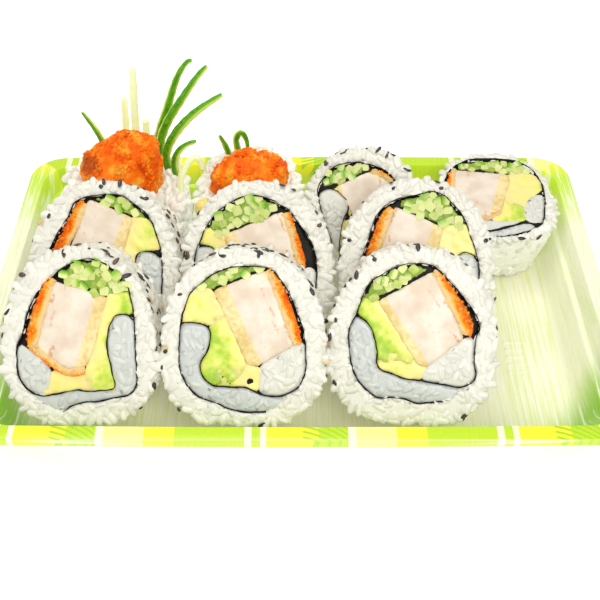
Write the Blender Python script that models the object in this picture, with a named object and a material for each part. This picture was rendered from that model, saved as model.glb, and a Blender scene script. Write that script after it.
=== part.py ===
"""Ten pieces of fried chicken uramaki in a printed takeaway tray.

The tray is one thin pressed sheet with a flat rim and a short skirt. Six cut
slices lean back in two rows of three, with one more leaning behind them, one
lying cut face up, and the two ends of the roll standing on their cut faces.
Crumbed chicken and cucumber strips stand out of the two end pieces.
X runs along the tray, Y across it away from the eater, Z up.
"""
import math
import random

import bmesh
import bpy
from mathutils import Euler, Vector

MM = 0.001

# ---- tray ----
TRAY_HALF_X = 108.0
TRAY_HALF_Y = 75.0
TRAY_BOW = 1.0         # how far the long sides swell outwards in the middle
TRAY_HEIGHT = 22.0
TRAY_CORNER = 13.0
TRAY_CORNER_STEPS = 6
TRAY_SIDE_STEPS = 6
SHEET = 0.8
RIM_WIDTH = 5.8
SKIRT_DROP = 3.1
SKIRT_DRAFT = 0.3
STEP_IN = 2.4
STEP_DOWN = 8.2
LEDGE_WIDTH = 1.4
LEDGE_FALL = 0.5
WALL_IN = 3.4
WALL_FOOT = 4.6
FILLET_RUN = 5.0

# ---- slices ----
REST = 1.1             # height of the lowest rice above the table
EDGE_ROUND = 1.6       # rounding where the side meets a cut face
OUTLINE_STEPS = 36
TOP_POWER = 2.1        # how square the domed top of a slice is
FOOT_POWER = 2.7       # how square its flattened foot is
FOOT_SHARE = 0.45      # part of the height below the widest place
LUMP = 0.7             # depth of the hollows in the rice outline

FRONT_LEAN = 36.0
MIDDLE_LEAN = 38.0
BACK_LEAN = 36.0

# name, middle x, nearest y, width, height, thickness, lean, turn, roll
LEANING = [
    ("slice_front_left", -69.9, -63.4, 50.0, 58.0, 25.5, FRONT_LEAN, 0.0, -3.0),
    ("slice_front_mid", -17.8, -63.4, 53.4, 58.0, 25.5, FRONT_LEAN, 0.0, 2.0),
    ("slice_front_right", 35.6, -63.3, 54.2, 58.0, 24.6, FRONT_LEAN, -6.0, 0.0),
    ("slice_mid_left", -66.3, -30.9, 51.6, 59.0, 26.5, MIDDLE_LEAN, 0.0, 0.0),
    ("slice_mid_centre", -14.2, -30.9, 52.4, 59.0, 26.5, MIDDLE_LEAN, 0.0, 3.0),
    ("slice_mid_right", 39.4, -30.4, 53.4, 59.0, 26.5, MIDDLE_LEAN, -4.0, -3.0),
    ("slice_back", 23.9, 9.6, 45.0, 48.5, 23.5, BACK_LEAN, 0.0, -12.0),
]

# the slice lying cut face up
FLAT_MIDDLE = (74.8, 41.5)
FLAT_SIZE = (46.8, 50.2)
FLAT_BASE = 1.2
FLAT_TOP = 28.5
FLAT_TAPER = 0.71
FLAT_TILT = 6.0        # degrees the cut face is tipped towards the eater

# ---- end pieces: name, middle, size, base, front height, back height ----
ENDS = [
    ("end_roll_left", (-66.0, 36.6), (50.6, 47.0), 1.1, 27.0, 34.5),
    ("end_roll_right", (-19.7, 37.0), (41.4, 44.0), 1.1, 27.0, 34.5),
]
END_TAPER = 0.90
END_RING = 8.0         # thickness of the rice ring at the ragged end
END_FLOOR = 27.6       # height of the filling inside the ring
TOUCH = 0.35           # gap left between pieces that touch

# ---- crumbed chicken: name, middle, half sizes, top height, knob ----
CHICKEN = [
    ("fried_end_left", (-65.6, 35.6), (16.4, 12.0), 60.5, 4.0),
    ("fried_end_right", (-19.0, 36.4), (17.2, 12.6), 51.0, 0.0),
]
CHICKEN_STEPS = 22

# ---- cucumber strips: name, width, points ----
STRIPS = [
    ("strip_short_green", 2.2,
     [(-73.6, 53.0, 33.7), (-74.0, 53.4, 40.0), (-76.6, 53.8, 48.5), (-81.4, 54.0, 57.1)]),
    ("strip_tall_pale", 2.9,
     [(-63.0, 55.3, 34.2), (-62.6, 55.4, 44.0), (-61.9, 55.3, 60.0), (-60.9, 55.0, 75.2)]),
    ("strip_pale", 2.6,
     [(-67.2, 55.3, 34.2), (-66.8, 55.6, 42.0), (-66.0, 55.8, 51.0), (-65.6, 55.8, 62.0)]),
    ("strip_stub", 2.6,
     [(-59.4, 55.0, 34.1), (-59.0, 55.1, 40.0), (-58.5, 55.2, 46.0), (-58.2, 55.2, 53.0)]),
    ("strip_green_left", 2.9,
     [(-56.0, 54.4, 34.1), (-54.4, 54.6, 46.0), (-49.4, 55.6, 58.5),
      (-45.6, 56.5, 70.0), (-41.4, 56.4, 76.8), (-39.2, 56.2, 77.6)]),
    ("strip_green_mid", 3.1,
     [(-53.0, 51.4, 33.7), (-54.2, 51.2, 42.0), (-50.6, 51.8, 53.0),
      (-43.4, 52.4, 64.0), (-37.0, 52.8, 73.5), (-33.6, 53.0, 77.0)]),
    ("strip_green_right", 3.1,
     [(-50.0, 48.2, 33.2), (-51.4, 48.0, 42.0), (-46.6, 48.2, 52.0),
      (-38.6, 49.0, 60.6), (-28.4, 49.5, 67.4)]),
    ("strip_green_short", 2.5,
     [(-46.9, 44.6, 32.7), (-47.6, 44.4, 40.0), (-46.2, 44.2, 45.6),
      (-42.6, 44.6, 49.0), (-38.6, 45.0, 50.2)]),
    ("strip_loop_pale", 2.4,
     [(-44.6, 35.4, 31.4), (-45.0, 36.4, 38.0), (-42.4, 38.2, 44.0),
      (-39.4, 39.6, 47.6), (-36.6, 40.2, 44.8), (-36.2, 40.0, 40.6)]),
    ("strip_curl_left", 2.2,
     [(-26.6, 53.4, 34.1), (-27.6, 53.2, 40.0), (-29.0, 52.6, 44.6), (-30.5, 51.8, 48.2)]),
    ("strip_curl_right", 2.4,
     [(-22.4, 54.0, 34.2), (-23.8, 53.8, 40.0), (-24.6, 53.4, 45.8),
      (-22.4, 53.2, 49.4), (-20.2, 53.2, 45.6), (-20.0, 53.2, 41.0)]),
]

# ---- avocado lump between the end pieces ----
AVOCADO_MIDDLE = (-35.4, 26.8)
AVOCADO_HALF = (3.9, 4.6, 3.6)
AVOCADO_HEIGHT = 33.0

# ---- colours ----
LOOKS = {
    "tray_print": ((0.86, 0.95, 0.35), 0.25),
    "rice": ((0.86, 0.85, 0.80), 0.50),
    "crumb": ((0.80, 0.25, 0.04), 0.65),
    "cucumber_green": ((0.25, 0.50, 0.08), 0.35),
    "cucumber_pale": ((0.75, 0.82, 0.50), 0.35),
    "avocado": ((0.75, 0.80, 0.15), 0.45),
}


def clear_file():
    for thing in list(bpy.data.objects):
        bpy.data.objects.remove(thing, do_unlink=True)
    for old in list(bpy.data.collections):
        bpy.data.collections.remove(old)


def make_looks():
    looks = {}
    for name, (colour, roughness) in LOOKS.items():
        look = bpy.data.materials.new(name)
        look.use_nodes = True
        shader = look.node_tree.nodes["Principled BSDF"]
        shader.inputs["Base Color"].default_value = (*colour, 1.0)
        shader.inputs["Roughness"].default_value = roughness
        look.diffuse_color = (*colour, 1.0)
        looks[name] = look
    return looks


def loft(rings, close_ends=True):
    """Skin a stack of equal rings of points, with a flat face on each end."""
    mesh = bmesh.new()
    rows = [[mesh.verts.new(point) for point in ring] for ring in rings]
    count = len(rings[0])
    for low, high in zip(rows, rows[1:]):
        for step in range(count):
            following = (step + 1) % count
            mesh.faces.new((low[step], low[following], high[following], high[step]))
    if close_ends:
        mesh.faces.new(list(reversed(rows[0])))
        mesh.faces.new(rows[-1])
    bmesh.ops.recalc_face_normals(mesh, faces=mesh.faces[:])
    return mesh


def keep(mesh, name, look, home):
    data = bpy.data.meshes.new(name)
    mesh.to_mesh(data)
    mesh.free()
    data.materials.append(look)
    thing = bpy.data.objects.new(name, data)
    home.objects.link(thing)
    return thing


def rounded_rectangle(half_x, half_y, radius, height):
    """Points of a rectangle with round corners and bowed long sides, at one height."""
    points = []
    for corner, (side_x, side_y) in enumerate([(1, 1), (-1, 1), (-1, -1), (1, -1)]):
        for step in range(TRAY_CORNER_STEPS + 1):
            angle = math.radians(90.0 * (corner + step / TRAY_CORNER_STEPS))
            x = side_x * (half_x - radius) + radius * math.cos(angle)
            y = side_y * (half_y - radius) + radius * math.sin(angle)
            points.append(Vector((x, y, height)) * MM)
        if side_x == side_y:
            for step in range(1, TRAY_SIDE_STEPS):
                share = step / TRAY_SIDE_STEPS
                x = side_x * (half_x - radius) * (1.0 - 2.0 * share)
                y = side_y * (half_y + TRAY_BOW * 4.0 * share * (1.0 - share))
                points.append(Vector((x, y, height)) * MM)
    return points


def make_tray(looks, home):
    """One sheet: floor, fillet, wall, ledge, steep step, rim and skirt."""
    rim = RIM_WIDTH
    step = rim + STEP_IN
    ledge = step + LEDGE_WIDTH
    foot = ledge + WALL_IN
    ledge_height = TRAY_HEIGHT - STEP_DOWN
    wall_top = ledge_height - LEDGE_FALL
    # inset from the outer edge, height of the upper face
    upper = [
        (0.0, TRAY_HEIGHT - 0.25),
        (0.3, TRAY_HEIGHT),
        (rim - 0.4, TRAY_HEIGHT),
        (rim, TRAY_HEIGHT - 0.5),
        (step - 0.5, ledge_height + 0.6),
        (step, ledge_height),
        (ledge - 0.3, wall_top),
        (ledge + 0.2, wall_top - 0.7),
        (foot - 0.4, WALL_FOOT + 1.0),
        (foot + FILLET_RUN * 0.14, WALL_FOOT - 1.4),
        (foot + FILLET_RUN * 0.45, SHEET + 1.0),
        (foot + FILLET_RUN, SHEET),
    ]
    # the same path one sheet thickness outside it, ending under the floor
    lower = [
        (foot + FILLET_RUN, 0.0),
        (foot + FILLET_RUN * 0.45 - 0.35, 0.35),
        (foot + FILLET_RUN * 0.14 - 0.65, WALL_FOOT - 2.0),
        (foot - 0.4 - SHEET, WALL_FOOT + 0.8),
        (ledge + 0.2 - SHEET, wall_top - 1.1),
        (ledge - 0.3 - SHEET * 0.6, wall_top - SHEET),
        (step - SHEET * 0.7, ledge_height - SHEET * 0.8),
        (step - 0.5 - SHEET, ledge_height + 0.4),
        (rim - SHEET, TRAY_HEIGHT - SHEET - 0.3),
        (rim - SHEET - 0.3, TRAY_HEIGHT - SHEET),
        (SHEET + 0.2, TRAY_HEIGHT - SHEET),
        (SHEET, TRAY_HEIGHT - SHEET - 0.2),
        (SHEET + SKIRT_DRAFT, TRAY_HEIGHT - SKIRT_DROP),
        (SKIRT_DRAFT, TRAY_HEIGHT - SKIRT_DROP),
    ]
    rings = []
    for inset, height in list(reversed(upper)) + list(reversed(lower)):
        radius = max(TRAY_CORNER - inset * 0.45, 5.0)
        rings.append(rounded_rectangle(TRAY_HALF_X - inset, TRAY_HALF_Y - inset, radius, height))
    return keep(loft(rings), "tray", looks["tray_print"], home)


def roll_outline(width, height, seed):
    """Uneven outline of a roll: domed top, flattened foot, centre at zero."""
    rng = random.Random(seed)
    waves = [(count, rng.uniform(0.0, 6.28), rng.uniform(0.4, 1.0)) for count in (3, 5, 7, 11)]
    total = sum(size for _, _, size in waves)
    points = []
    for step in range(OUTLINE_STEPS):
        angle = 2.0 * math.pi * step / OUTLINE_STEPS
        across, up = math.cos(angle), math.sin(angle)
        power = TOP_POWER if up > 0 else FOOT_POWER
        share = 1.0 - FOOT_SHARE if up > 0 else FOOT_SHARE
        x = math.copysign(abs(across) ** (2.0 / power), across) * width / 2.0
        z = math.copysign(abs(up) ** (2.0 / power), up) * height * share
        z += height * (FOOT_SHARE - 0.5)
        hollow = sum(size * (1.0 - math.sin(count * angle + start)) / 2.0
                     for count, start, size in waves) / total
        shrink = 1.0 - LUMP * hollow / (width / 2.0)
        points.append((x * shrink, z * shrink))
    return points


def slice_rings(outline, thickness, seed):
    """Rings from the front cut face to the back one, rounded at both edges."""
    rng = random.Random(seed + 50)
    rings = []
    stations = [
        (0.0, EDGE_ROUND),
        (0.35 * EDGE_ROUND, 0.35 * EDGE_ROUND),
        (EDGE_ROUND, 0.0),
        (0.5 * thickness, 0.0),
        (thickness - EDGE_ROUND, 0.0),
        (thickness - 0.35 * EDGE_ROUND, 0.35 * EDGE_ROUND),
        (thickness, EDGE_ROUND),
    ]
    start = rng.uniform(0.0, 6.28)
    for depth, inset in stations:
        ring = []
        for step, (x, z) in enumerate(outline):
            reach = math.hypot(x, z)
            angle = 2.0 * math.pi * step / OUTLINE_STEPS
            dent = 0.25 * (1.0 - math.sin(4.0 * angle + start + depth * 0.3))
            scale = (reach - inset - dent) / reach
            ring.append(Vector((x * scale, depth, z * scale)) * MM)
        rings.append(ring)
    return rings


def make_leaning_slices(looks, home):
    for number, row in enumerate(LEANING):
        name, middle, near, width, height, thickness, lean, turn, roll = row
        outline = roll_outline(width, height, 10 + number)
        pose = Euler((0.0, 0.0, math.radians(turn))).to_matrix()
        pose = pose @ Euler((math.radians(-lean), 0.0, 0.0)).to_matrix()
        pose = pose @ Euler((0.0, math.radians(roll), 0.0)).to_matrix()
        rings = [[pose @ point for point in ring]
                 for ring in slice_rings(outline, thickness, 10 + number)]
        every = [point for ring in rings for point in ring]
        move = Vector((middle * MM,
                       near * MM - min(point.y for point in every),
                       REST * MM - min(point.z for point in every)))
        rings = [[point + move for point in ring] for ring in rings]
        keep(loft(rings), name, looks["rice"], home)


def make_flat_slice(looks, home):
    """The slice on its back: same shape, cut face up, narrower underneath."""
    outline = roll_outline(FLAT_SIZE[0], FLAT_SIZE[1], 31)
    thickness = FLAT_TOP - FLAT_BASE
    slope = math.tan(math.radians(FLAT_TILT))
    rings = []
    for ring in slice_rings(outline, thickness, 31):
        placed = []
        for point in ring:
            depth = point.y / MM
            share = 1.0 + (FLAT_TAPER - 1.0) * (depth / thickness) ** 1.6
            placed.append(Vector((
                FLAT_MIDDLE[0] * MM + point.x * share,
                FLAT_MIDDLE[1] * MM + point.z * share,
                (FLAT_TOP - depth) * MM + point.z * slope * (1.0 - depth / thickness))))
        rings.append(placed)
    keep(loft(rings), "slice_flat", looks["rice"], home)


def make_end_rolls(looks, home):
    """Ragged ends standing on their cut faces: the rice ring rises at the back."""
    for number, (name, middle, size, base, front, back) in enumerate(ENDS):
        outline = roll_outline(size[0], size[1], 41 + number)
        half = size[1] / 2.0
        rng = random.Random(70 + number)
        ragged = [rng.uniform(-0.9, 0.0) for _ in outline]
        # share of the height, inset from the outline
        sides = [(0.0, 2.2), (0.03, 0.8), (0.1, 0.0), (0.45, 0.0), (0.8, 0.0), (0.93, 0.6)]
        rings = []
        for share, inset in sides:
            ring = []
            for (x, y), rag in zip(outline, ragged):
                reach = math.hypot(x, y)
                top = front + (back - front) * (y + half) / (2.0 * half) + rag
                narrow = END_TAPER + (1.0 - END_TAPER) * min(share / 0.7, 1.0)
                scale = narrow * (reach - inset) / reach
                ring.append(Vector((middle[0] + x * scale, middle[1] + y * scale,
                                    base + (top - base) * share)) * MM)
            rings.append(ring)
        # over the crest of the ring and down to the filling
        for inset, drop in [(2.0, 0.0), (END_RING - 2.5, 0.2), (END_RING, 1.6)]:
            ring = []
            for (x, y), rag in zip(outline, ragged):
                reach = math.hypot(x, y)
                top = front + (back - front) * (y + half) / (2.0 * half) + rag
                scale = (reach - inset) / reach
                height = max(top - drop, END_FLOOR) if inset < END_RING else END_FLOOR
                ring.append(Vector((middle[0] + x * scale, middle[1] + y * scale, height)) * MM)
            rings.append(ring)
        keep(loft(rings), name, looks["rice"], home)


def make_fried_chicken(looks, home):
    """Crumbed domes standing in the rings, one with a knob at its side."""
    for number, (name, middle, half, top, knob) in enumerate(CHICKEN):
        rng = random.Random(90 + number)
        waves = [(count, rng.uniform(0.0, 6.28)) for count in (2, 3, 5)]
        base = END_FLOOR + TOUCH
        profile = [(0.0, 0.68), (0.12, 0.78), (0.32, 1.0), (0.52, 1.0),
                   (0.72, 0.90), (0.87, 0.72), (0.96, 0.45), (1.0, 0.18)]
        rings = []
        for share, reach in profile:
            ring = []
            for step in range(CHICKEN_STEPS):
                angle = 2.0 * math.pi * step / CHICKEN_STEPS
                bump = sum(math.sin(count * angle + start + 4.0 * share)
                           for count, start in waves) / 3.0
                bump = 1.0 - 0.09 * (bump + 1.0) * min(1.0, 4.0 * share)
                facing = max(0.0, -math.cos(angle)) ** 3
                swell = knob * facing * math.exp(-((share - 0.66) / 0.14) ** 2)
                x = half[0] * reach * bump * math.cos(angle) - swell
                y = half[1] * reach * bump * math.sin(angle)
                ring.append(Vector((middle[0] + x, middle[1] + y,
                                    base + (top - base) * share)) * MM)
            rings.append(ring)
        keep(loft(rings), name, looks["crumb"], home)


def make_strips(looks, home):
    """Cucumber strips: square in section, curving up out of the ends."""
    for name, width, points in STRIPS:
        curve = bpy.data.curves.new(name, "CURVE")
        curve.dimensions = "3D"
        curve.bevel_depth = width / 2.0 * MM
        curve.bevel_resolution = 0
        curve.use_fill_caps = True
        curve.resolution_u = 4
        curve.render_resolution_u = 0
        curve.twist_mode = "MINIMUM"
        line = curve.splines.new("NURBS")
        line.points.add(len(points) - 1)
        for slot, point in zip(line.points, points):
            slot.co = (*(Vector(point) * MM), 1.0)
        line.order_u = 3
        line.use_endpoint_u = True
        line.resolution_u = 4
        pale = "pale" in name or "stub" in name
        curve.materials.append(looks["cucumber_pale" if pale else "cucumber_green"])
        thing = bpy.data.objects.new(name, curve)
        home.objects.link(thing)


def make_avocado(looks, home):
    """A soft lump pushed out between the two end pieces."""
    mesh = bmesh.new()
    bmesh.ops.create_icosphere(mesh, subdivisions=2, radius=1.0)
    for vert in mesh.verts:
        x, y, z = vert.co
        swell = 1.0 - 0.12 * (1.0 + math.sin(3.0 * x + 2.0 * y + 1.0)) / 2.0
        z = max(z, -0.75)
        vert.co = Vector((
            AVOCADO_MIDDLE[0] + AVOCADO_HALF[0] * x * swell,
            AVOCADO_MIDDLE[1] + AVOCADO_HALF[1] * y * swell,
            AVOCADO_HEIGHT + AVOCADO_HALF[2] * z)) * MM
    keep(mesh, "avocado_end", looks["avocado"], home)


def main():
    clear_file()
    home = bpy.data.collections.new("uramaki_tray")
    bpy.context.scene.collection.children.link(home)
    looks = make_looks()
    make_tray(looks, home)
    make_leaning_slices(looks, home)
    make_flat_slice(looks, home)
    make_end_rolls(looks, home)
    make_fried_chicken(looks, home)
    make_strips(looks, home)
    make_avocado(looks, home)


main()
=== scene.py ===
"""Looks of the uramaki tray: printed tray, rice, nori, fillings, fried ends and garnish.

Sizes are in millimetres until a mesh is made, and X runs along the tray, Y away
from the eater, Z up. A slice's own measures are across, deep and up its cut face.
"""
import itertools
import math

import bmesh
import bpy
import numpy as np
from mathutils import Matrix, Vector, noise
from mathutils.geometry import delaunay_2d_cdt


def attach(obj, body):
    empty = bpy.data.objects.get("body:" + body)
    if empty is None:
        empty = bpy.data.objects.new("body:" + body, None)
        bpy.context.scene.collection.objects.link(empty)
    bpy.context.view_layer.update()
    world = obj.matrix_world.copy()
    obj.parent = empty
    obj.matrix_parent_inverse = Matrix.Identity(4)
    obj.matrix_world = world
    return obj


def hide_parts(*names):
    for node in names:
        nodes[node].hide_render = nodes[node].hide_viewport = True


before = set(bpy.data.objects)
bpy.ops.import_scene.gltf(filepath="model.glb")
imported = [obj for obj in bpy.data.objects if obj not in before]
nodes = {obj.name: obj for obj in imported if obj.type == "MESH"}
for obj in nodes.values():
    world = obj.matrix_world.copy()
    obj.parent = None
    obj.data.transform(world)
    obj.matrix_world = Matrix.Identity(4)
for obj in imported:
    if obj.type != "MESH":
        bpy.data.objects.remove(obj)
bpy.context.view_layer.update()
bpy.ops.object.select_all(action="DESELECT")

# ------------------------------------------------------------------ studio
# The tray stands on a white table in a white room, under wide soft lights,
# and is seen from above the near side.
MM = 0.001
EYE = (0.0, -289.2, 273.8)
LOOK_DOWN = 42.23
LENS = 64.2
TABLE_WHITE = (0.93, 0.93, 0.93)


class Wire:
    """A socket of a material. Sums and products of wires add their Math nodes."""

    def __init__(self, tree, socket=None):
        self.tree = tree
        self.socket = socket

    def node(self, kind, settings, values, output=0):
        """Adds one node: its settings first, then its sockets' values or wires."""
        made = self.tree.nodes.new(kind)
        for name, value in settings.items():
            if name == "stops":
                ramp = made.color_ramp
                ramp.elements.remove(ramp.elements[1])
                for place, colour in value[1:]:
                    ramp.elements.new(place).color = (*colour, 1.0)
                ramp.elements[0].position = value[0][0]
                ramp.elements[0].color = (*value[0][1], 1.0)
            elif name == "steps":
                made.color_ramp.interpolation = value
            else:
                setattr(made, name, value)
        for slot, value in values.items():
            if isinstance(value, Wire):
                self.tree.links.new(value.socket, made.inputs[slot])
            elif isinstance(value, tuple) and made.inputs[slot].type == "RGBA":
                made.inputs[slot].default_value = (*value, 1.0)
            else:
                made.inputs[slot].default_value = value
        return Wire(self.tree, made.outputs[output])

    def math(self, operation, first, second=0.0):
        return self.node("ShaderNodeMath", {"operation": operation}, {0: first, 1: second})

    def __add__(self, other):
        return self.math("ADD", self, other)

    def __radd__(self, other):
        return self.math("ADD", other, self)

    def __sub__(self, other):
        return self.math("SUBTRACT", self, other)

    def __rsub__(self, other):
        return self.math("SUBTRACT", other, self)

    def __mul__(self, other):
        return self.math("MULTIPLY", self, other)

    def __rmul__(self, other):
        return self.math("MULTIPLY", other, self)

    def __truediv__(self, other):
        return self.math("DIVIDE", self, other)

    def __abs__(self):
        return self.math("ABSOLUTE", self)

    def above(self, edge, soft):
        """0 below edge and 1 above it, over a soft step."""
        return self.node("ShaderNodeMapRange", {"interpolation_type": "SMOOTHSTEP"},
                         {"Value": self, "From Min": edge - soft, "From Max": edge + soft})

    def paint(self, under, over):
        """Colour over laid on colour under, where this wire is the mask."""
        return self.node("ShaderNodeMix", {"data_type": "RGBA"},
                         {0: self, 6: under, 7: over}, output=2)


def new_look(name, **constants):
    """A material with its constant sockets set: its shader, and the place on the piece."""
    look = bpy.data.materials.new(name)
    look.use_nodes = True
    shader = look.node_tree.nodes["Principled BSDF"]
    for socket, value in constants.items():
        shader.inputs[socket.replace("_", " ")].default_value = value
    return look, shader, Wire(look.node_tree).node("ShaderNodeTexCoord", {}, {}, output=3)


def feed(shader, **wires):
    """Links each named socket of a shader to its wire."""
    for socket, wire in wires.items():
        wire.tree.links.new(wire.socket, shader.inputs[socket.replace("_", " ")])


def mottle(place, scale, detail=2.0):
    """Uneven tone between 0 and 1, at so many waves to a metre."""
    return place.node("ShaderNodeTexNoise", {}, {"Vector": place, "Scale": scale, "Detail": detail})


def carried(place, name):
    """The tone of some name that a mesh carries."""
    return place.node("ShaderNodeAttribute", {"attribute_name": name}, {}, output=2)


def relief(strength, rise, height):
    """A surface raised by a height, by so many millimetres at the most."""
    return height.node("ShaderNodeBump", {},
                       {"Strength": strength, "Distance": rise * MM, "Height": height})


table_look, table_shader, place = new_look(
    "table_white", Roughness=0.6, Emission_Color=(1.0, 1.0, 1.0, 1.0), Emission_Strength=0.45)
feed(table_shader, Base_Color=mottle(place, 3.0).paint(TABLE_WHITE, (0.95, 0.95, 0.94)))

bpy.ops.mesh.primitive_plane_add(size=40.0, location=(0.0, 1.0, 0.0))
table = bpy.context.object
table.name = "table_top"
bpy.ops.object.transform_apply(location=True, rotation=True, scale=True)
table.data.materials.append(table_look)

room = bpy.data.worlds.new("white_room")
bpy.context.scene.world = room
room.use_nodes = True
room.node_tree.nodes["Background"].inputs["Color"].default_value = (1.0, 1.0, 0.98, 1.0)
room.node_tree.nodes["Background"].inputs["Strength"].default_value = 0.66

# name, place, size, power in watts, colour
SOFT_LIGHTS = [
    ("light_overhead", (-120.0, 90.0, 620.0), 420.0, 1.5, (1.0, 0.99, 0.97)),
    ("light_front", (160.0, -520.0, 520.0), 380.0, 2.3, (1.0, 1.0, 1.0)),
]
for name, spot, size, power, colour in SOFT_LIGHTS:
    light = bpy.data.lights.new(name, "AREA")
    light.shape = "DISK"
    light.size = size * MM
    light.energy = power
    light.color = colour
    lamp = bpy.data.objects.new(name, light)
    lamp.location = Vector(spot) * MM
    lamp.rotation_euler = (-Vector(spot)).to_track_quat("-Z", "Y").to_euler()
    bpy.context.scene.collection.objects.link(lamp)

lens = bpy.data.cameras.new("camera")
lens.lens = LENS
lens.clip_start = 0.01
camera = bpy.data.objects.new("camera", lens)
camera.location = Vector(EYE) * MM
camera.rotation_euler = (math.radians(90.0 - LOOK_DOWN), 0.0, 0.0)
bpy.context.scene.collection.objects.link(camera)
bpy.context.scene.camera = camera
bpy.context.scene.view_settings.view_transform = "Standard"

# ------------------------------------------------------------------ tray
# A low rectangular tray, pressed in one piece from thin printed plastic sheet:
# flat rim, short skirt, a steep step, ribbed walls and an embossed floor.
TRAY_HALF_X = 108.0
TRAY_HALF_Y = 75.0
TRAY_TOP = 22.0
TRAY_CORNER = 13.0
SIDE_BOW = 1.0
SKIRT = 3.1
SHEET = 0.55
RIB_PITCH = 1.25
RIB_RISE = 0.10
# inset from the outer edge, height
TRAY_PROFILE = [
    (0.15, 21.93), (0.4, 22.0), (5.3, 22.0), (5.65, 21.9), (5.9, 21.5), (6.7, 18.2),
    (7.7, 14.4), (7.9, 14.0), (8.3, 13.8), (9.2, 13.4), (9.5, 13.2), (9.8, 12.6),
    (11.2, 9.2), (12.6, 5.6), (13.1, 4.3), (13.9, 3.0), (15.0, 1.9), (16.4, 1.1), (18.0, 0.8),
]
WALL_HEIGHTS = (3.5, 13.0)

# the sheet's own top, and how far its edge rounds over, down and in
RIM_TOP = TRAY_TOP - 0.25
LIP = 0.3


def edit_all():
    """Opens the piece at hand for editing, with all of it chosen."""
    bpy.ops.object.mode_set(mode="EDIT")
    bpy.ops.mesh.select_all(action="SELECT")


bpy.ops.mesh.primitive_plane_add(size=1.0, location=(0.0, 0.0, RIM_TOP * MM))
tray = bpy.context.object
tray.name = "tray_shell"
tray.scale = (2.0 * TRAY_HALF_X * MM, 2.0 * TRAY_HALF_Y * MM, 1.0)
bpy.ops.object.transform_apply(location=True, rotation=True, scale=True)
edit_all()
bpy.ops.mesh.bevel(offset=TRAY_CORNER * MM, segments=14, affect="VERTICES")
bpy.ops.mesh.select_mode(type="EDGE")
bpy.ops.mesh.select_all(action="SELECT")
bpy.ops.mesh.delete(type="ONLY_FACE")
for along, half in enumerate((TRAY_HALF_X, TRAY_HALF_Y)):
    length = 2.0 * (half - TRAY_CORNER)
    shell = bmesh.from_edit_mesh(tray.data)
    for edge in shell.edges:
        reach = edge.verts[0].co - edge.verts[1].co
        edge.select_set(abs(abs(reach[along]) - length * MM) < 0.1 * MM)
    bmesh.update_edit_mesh(tray.data)
    bpy.ops.mesh.subdivide(number_cuts=round(length / RIB_PITCH) - 1)
shell = bmesh.from_edit_mesh(tray.data)
for vert in shell.verts:
    side = vert.co.x / (TRAY_HALF_X * MM)
    vert.co.y *= 1.0 + SIDE_BOW / TRAY_HALF_Y * (1.0 - side * side)
bmesh.update_edit_mesh(tray.data)


def pulled(by):
    """Draws the chosen edges out, straight up or down."""
    bpy.ops.mesh.extrude_edges_move(TRANSFORM_OT_translate={"value": (0.0, 0.0, by * MM)})


# the outline is drawn down station by station into the walls, then floored
bpy.ops.mesh.select_all(action="SELECT")
before, level = 0.0, RIM_TOP
for inset, height in TRAY_PROFILE:
    pulled(height - level)
    bpy.ops.transform.resize(
        value=((TRAY_HALF_X - inset) / (TRAY_HALF_X - before),
               (TRAY_HALF_Y - inset) / (TRAY_HALF_Y - before), 1.0),
        center_override=(0.0, 0.0, height * MM))
    before, level = inset, height
bpy.ops.mesh.edge_face_add()
bpy.ops.mesh.inset(thickness=4.0 * MM)
bpy.ops.mesh.select_all(action="DESELECT")
bpy.ops.mesh.select_mode(type="EDGE")
shell = bmesh.from_edit_mesh(tray.data)
for edge in shell.edges:
    edge.select_set(edge.is_boundary)
bmesh.update_edit_mesh(tray.data)
for drop in (LIP, SKIRT - 0.55):
    pulled(-drop)
bpy.ops.transform.resize(value=(1.0 - LIP / TRAY_HALF_X, 1.0 - LIP / TRAY_HALF_Y, 1.0),
                         center_override=(0.0, 0.0, 0.0))
shell = bmesh.from_edit_mesh(tray.data)
bmesh.ops.recalc_face_normals(shell, faces=shell.faces[:])
floor_face = min(shell.faces, key=lambda face: face.calc_center_median().z)
if floor_face.normal.z < 0.0:
    bmesh.ops.reverse_faces(shell, faces=shell.faces[:])
heights = [height for _, height in TRAY_PROFILE]
insets = [inset for inset, _ in TRAY_PROFILE]
for vert in shell.verts:
    height = vert.co.z / MM
    if WALL_HEIGHTS[0] < height < WALL_HEIGHTS[1]:
        inset = float(np.interp(-height, [-h for h in heights], insets))
        across, deep = vert.co.x / MM, vert.co.y / MM
        long_side = abs(deep) - (TRAY_HALF_Y - inset) > abs(across) - (TRAY_HALF_X - inset)
        place_on_side = across / (TRAY_HALF_X - inset) * TRAY_HALF_X
        if not long_side:
            place_on_side = deep / (TRAY_HALF_Y - inset) * TRAY_HALF_Y
        rise = RIB_RISE * math.cos(math.pi * place_on_side / RIB_PITCH) * MM
        if long_side:
            vert.co.y -= math.copysign(rise, deep)
        else:
            vert.co.x -= math.copysign(rise, across)
bmesh.update_edit_mesh(tray.data)
bpy.ops.object.mode_set(mode="OBJECT")
wall = tray.modifiers.new("wall", "SOLIDIFY")
wall.thickness = SHEET * MM
wall.offset = -1.0
bpy.ops.object.modifier_apply(modifier="wall")
bpy.ops.object.shade_smooth_by_angle(angle=math.radians(35.0))

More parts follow.
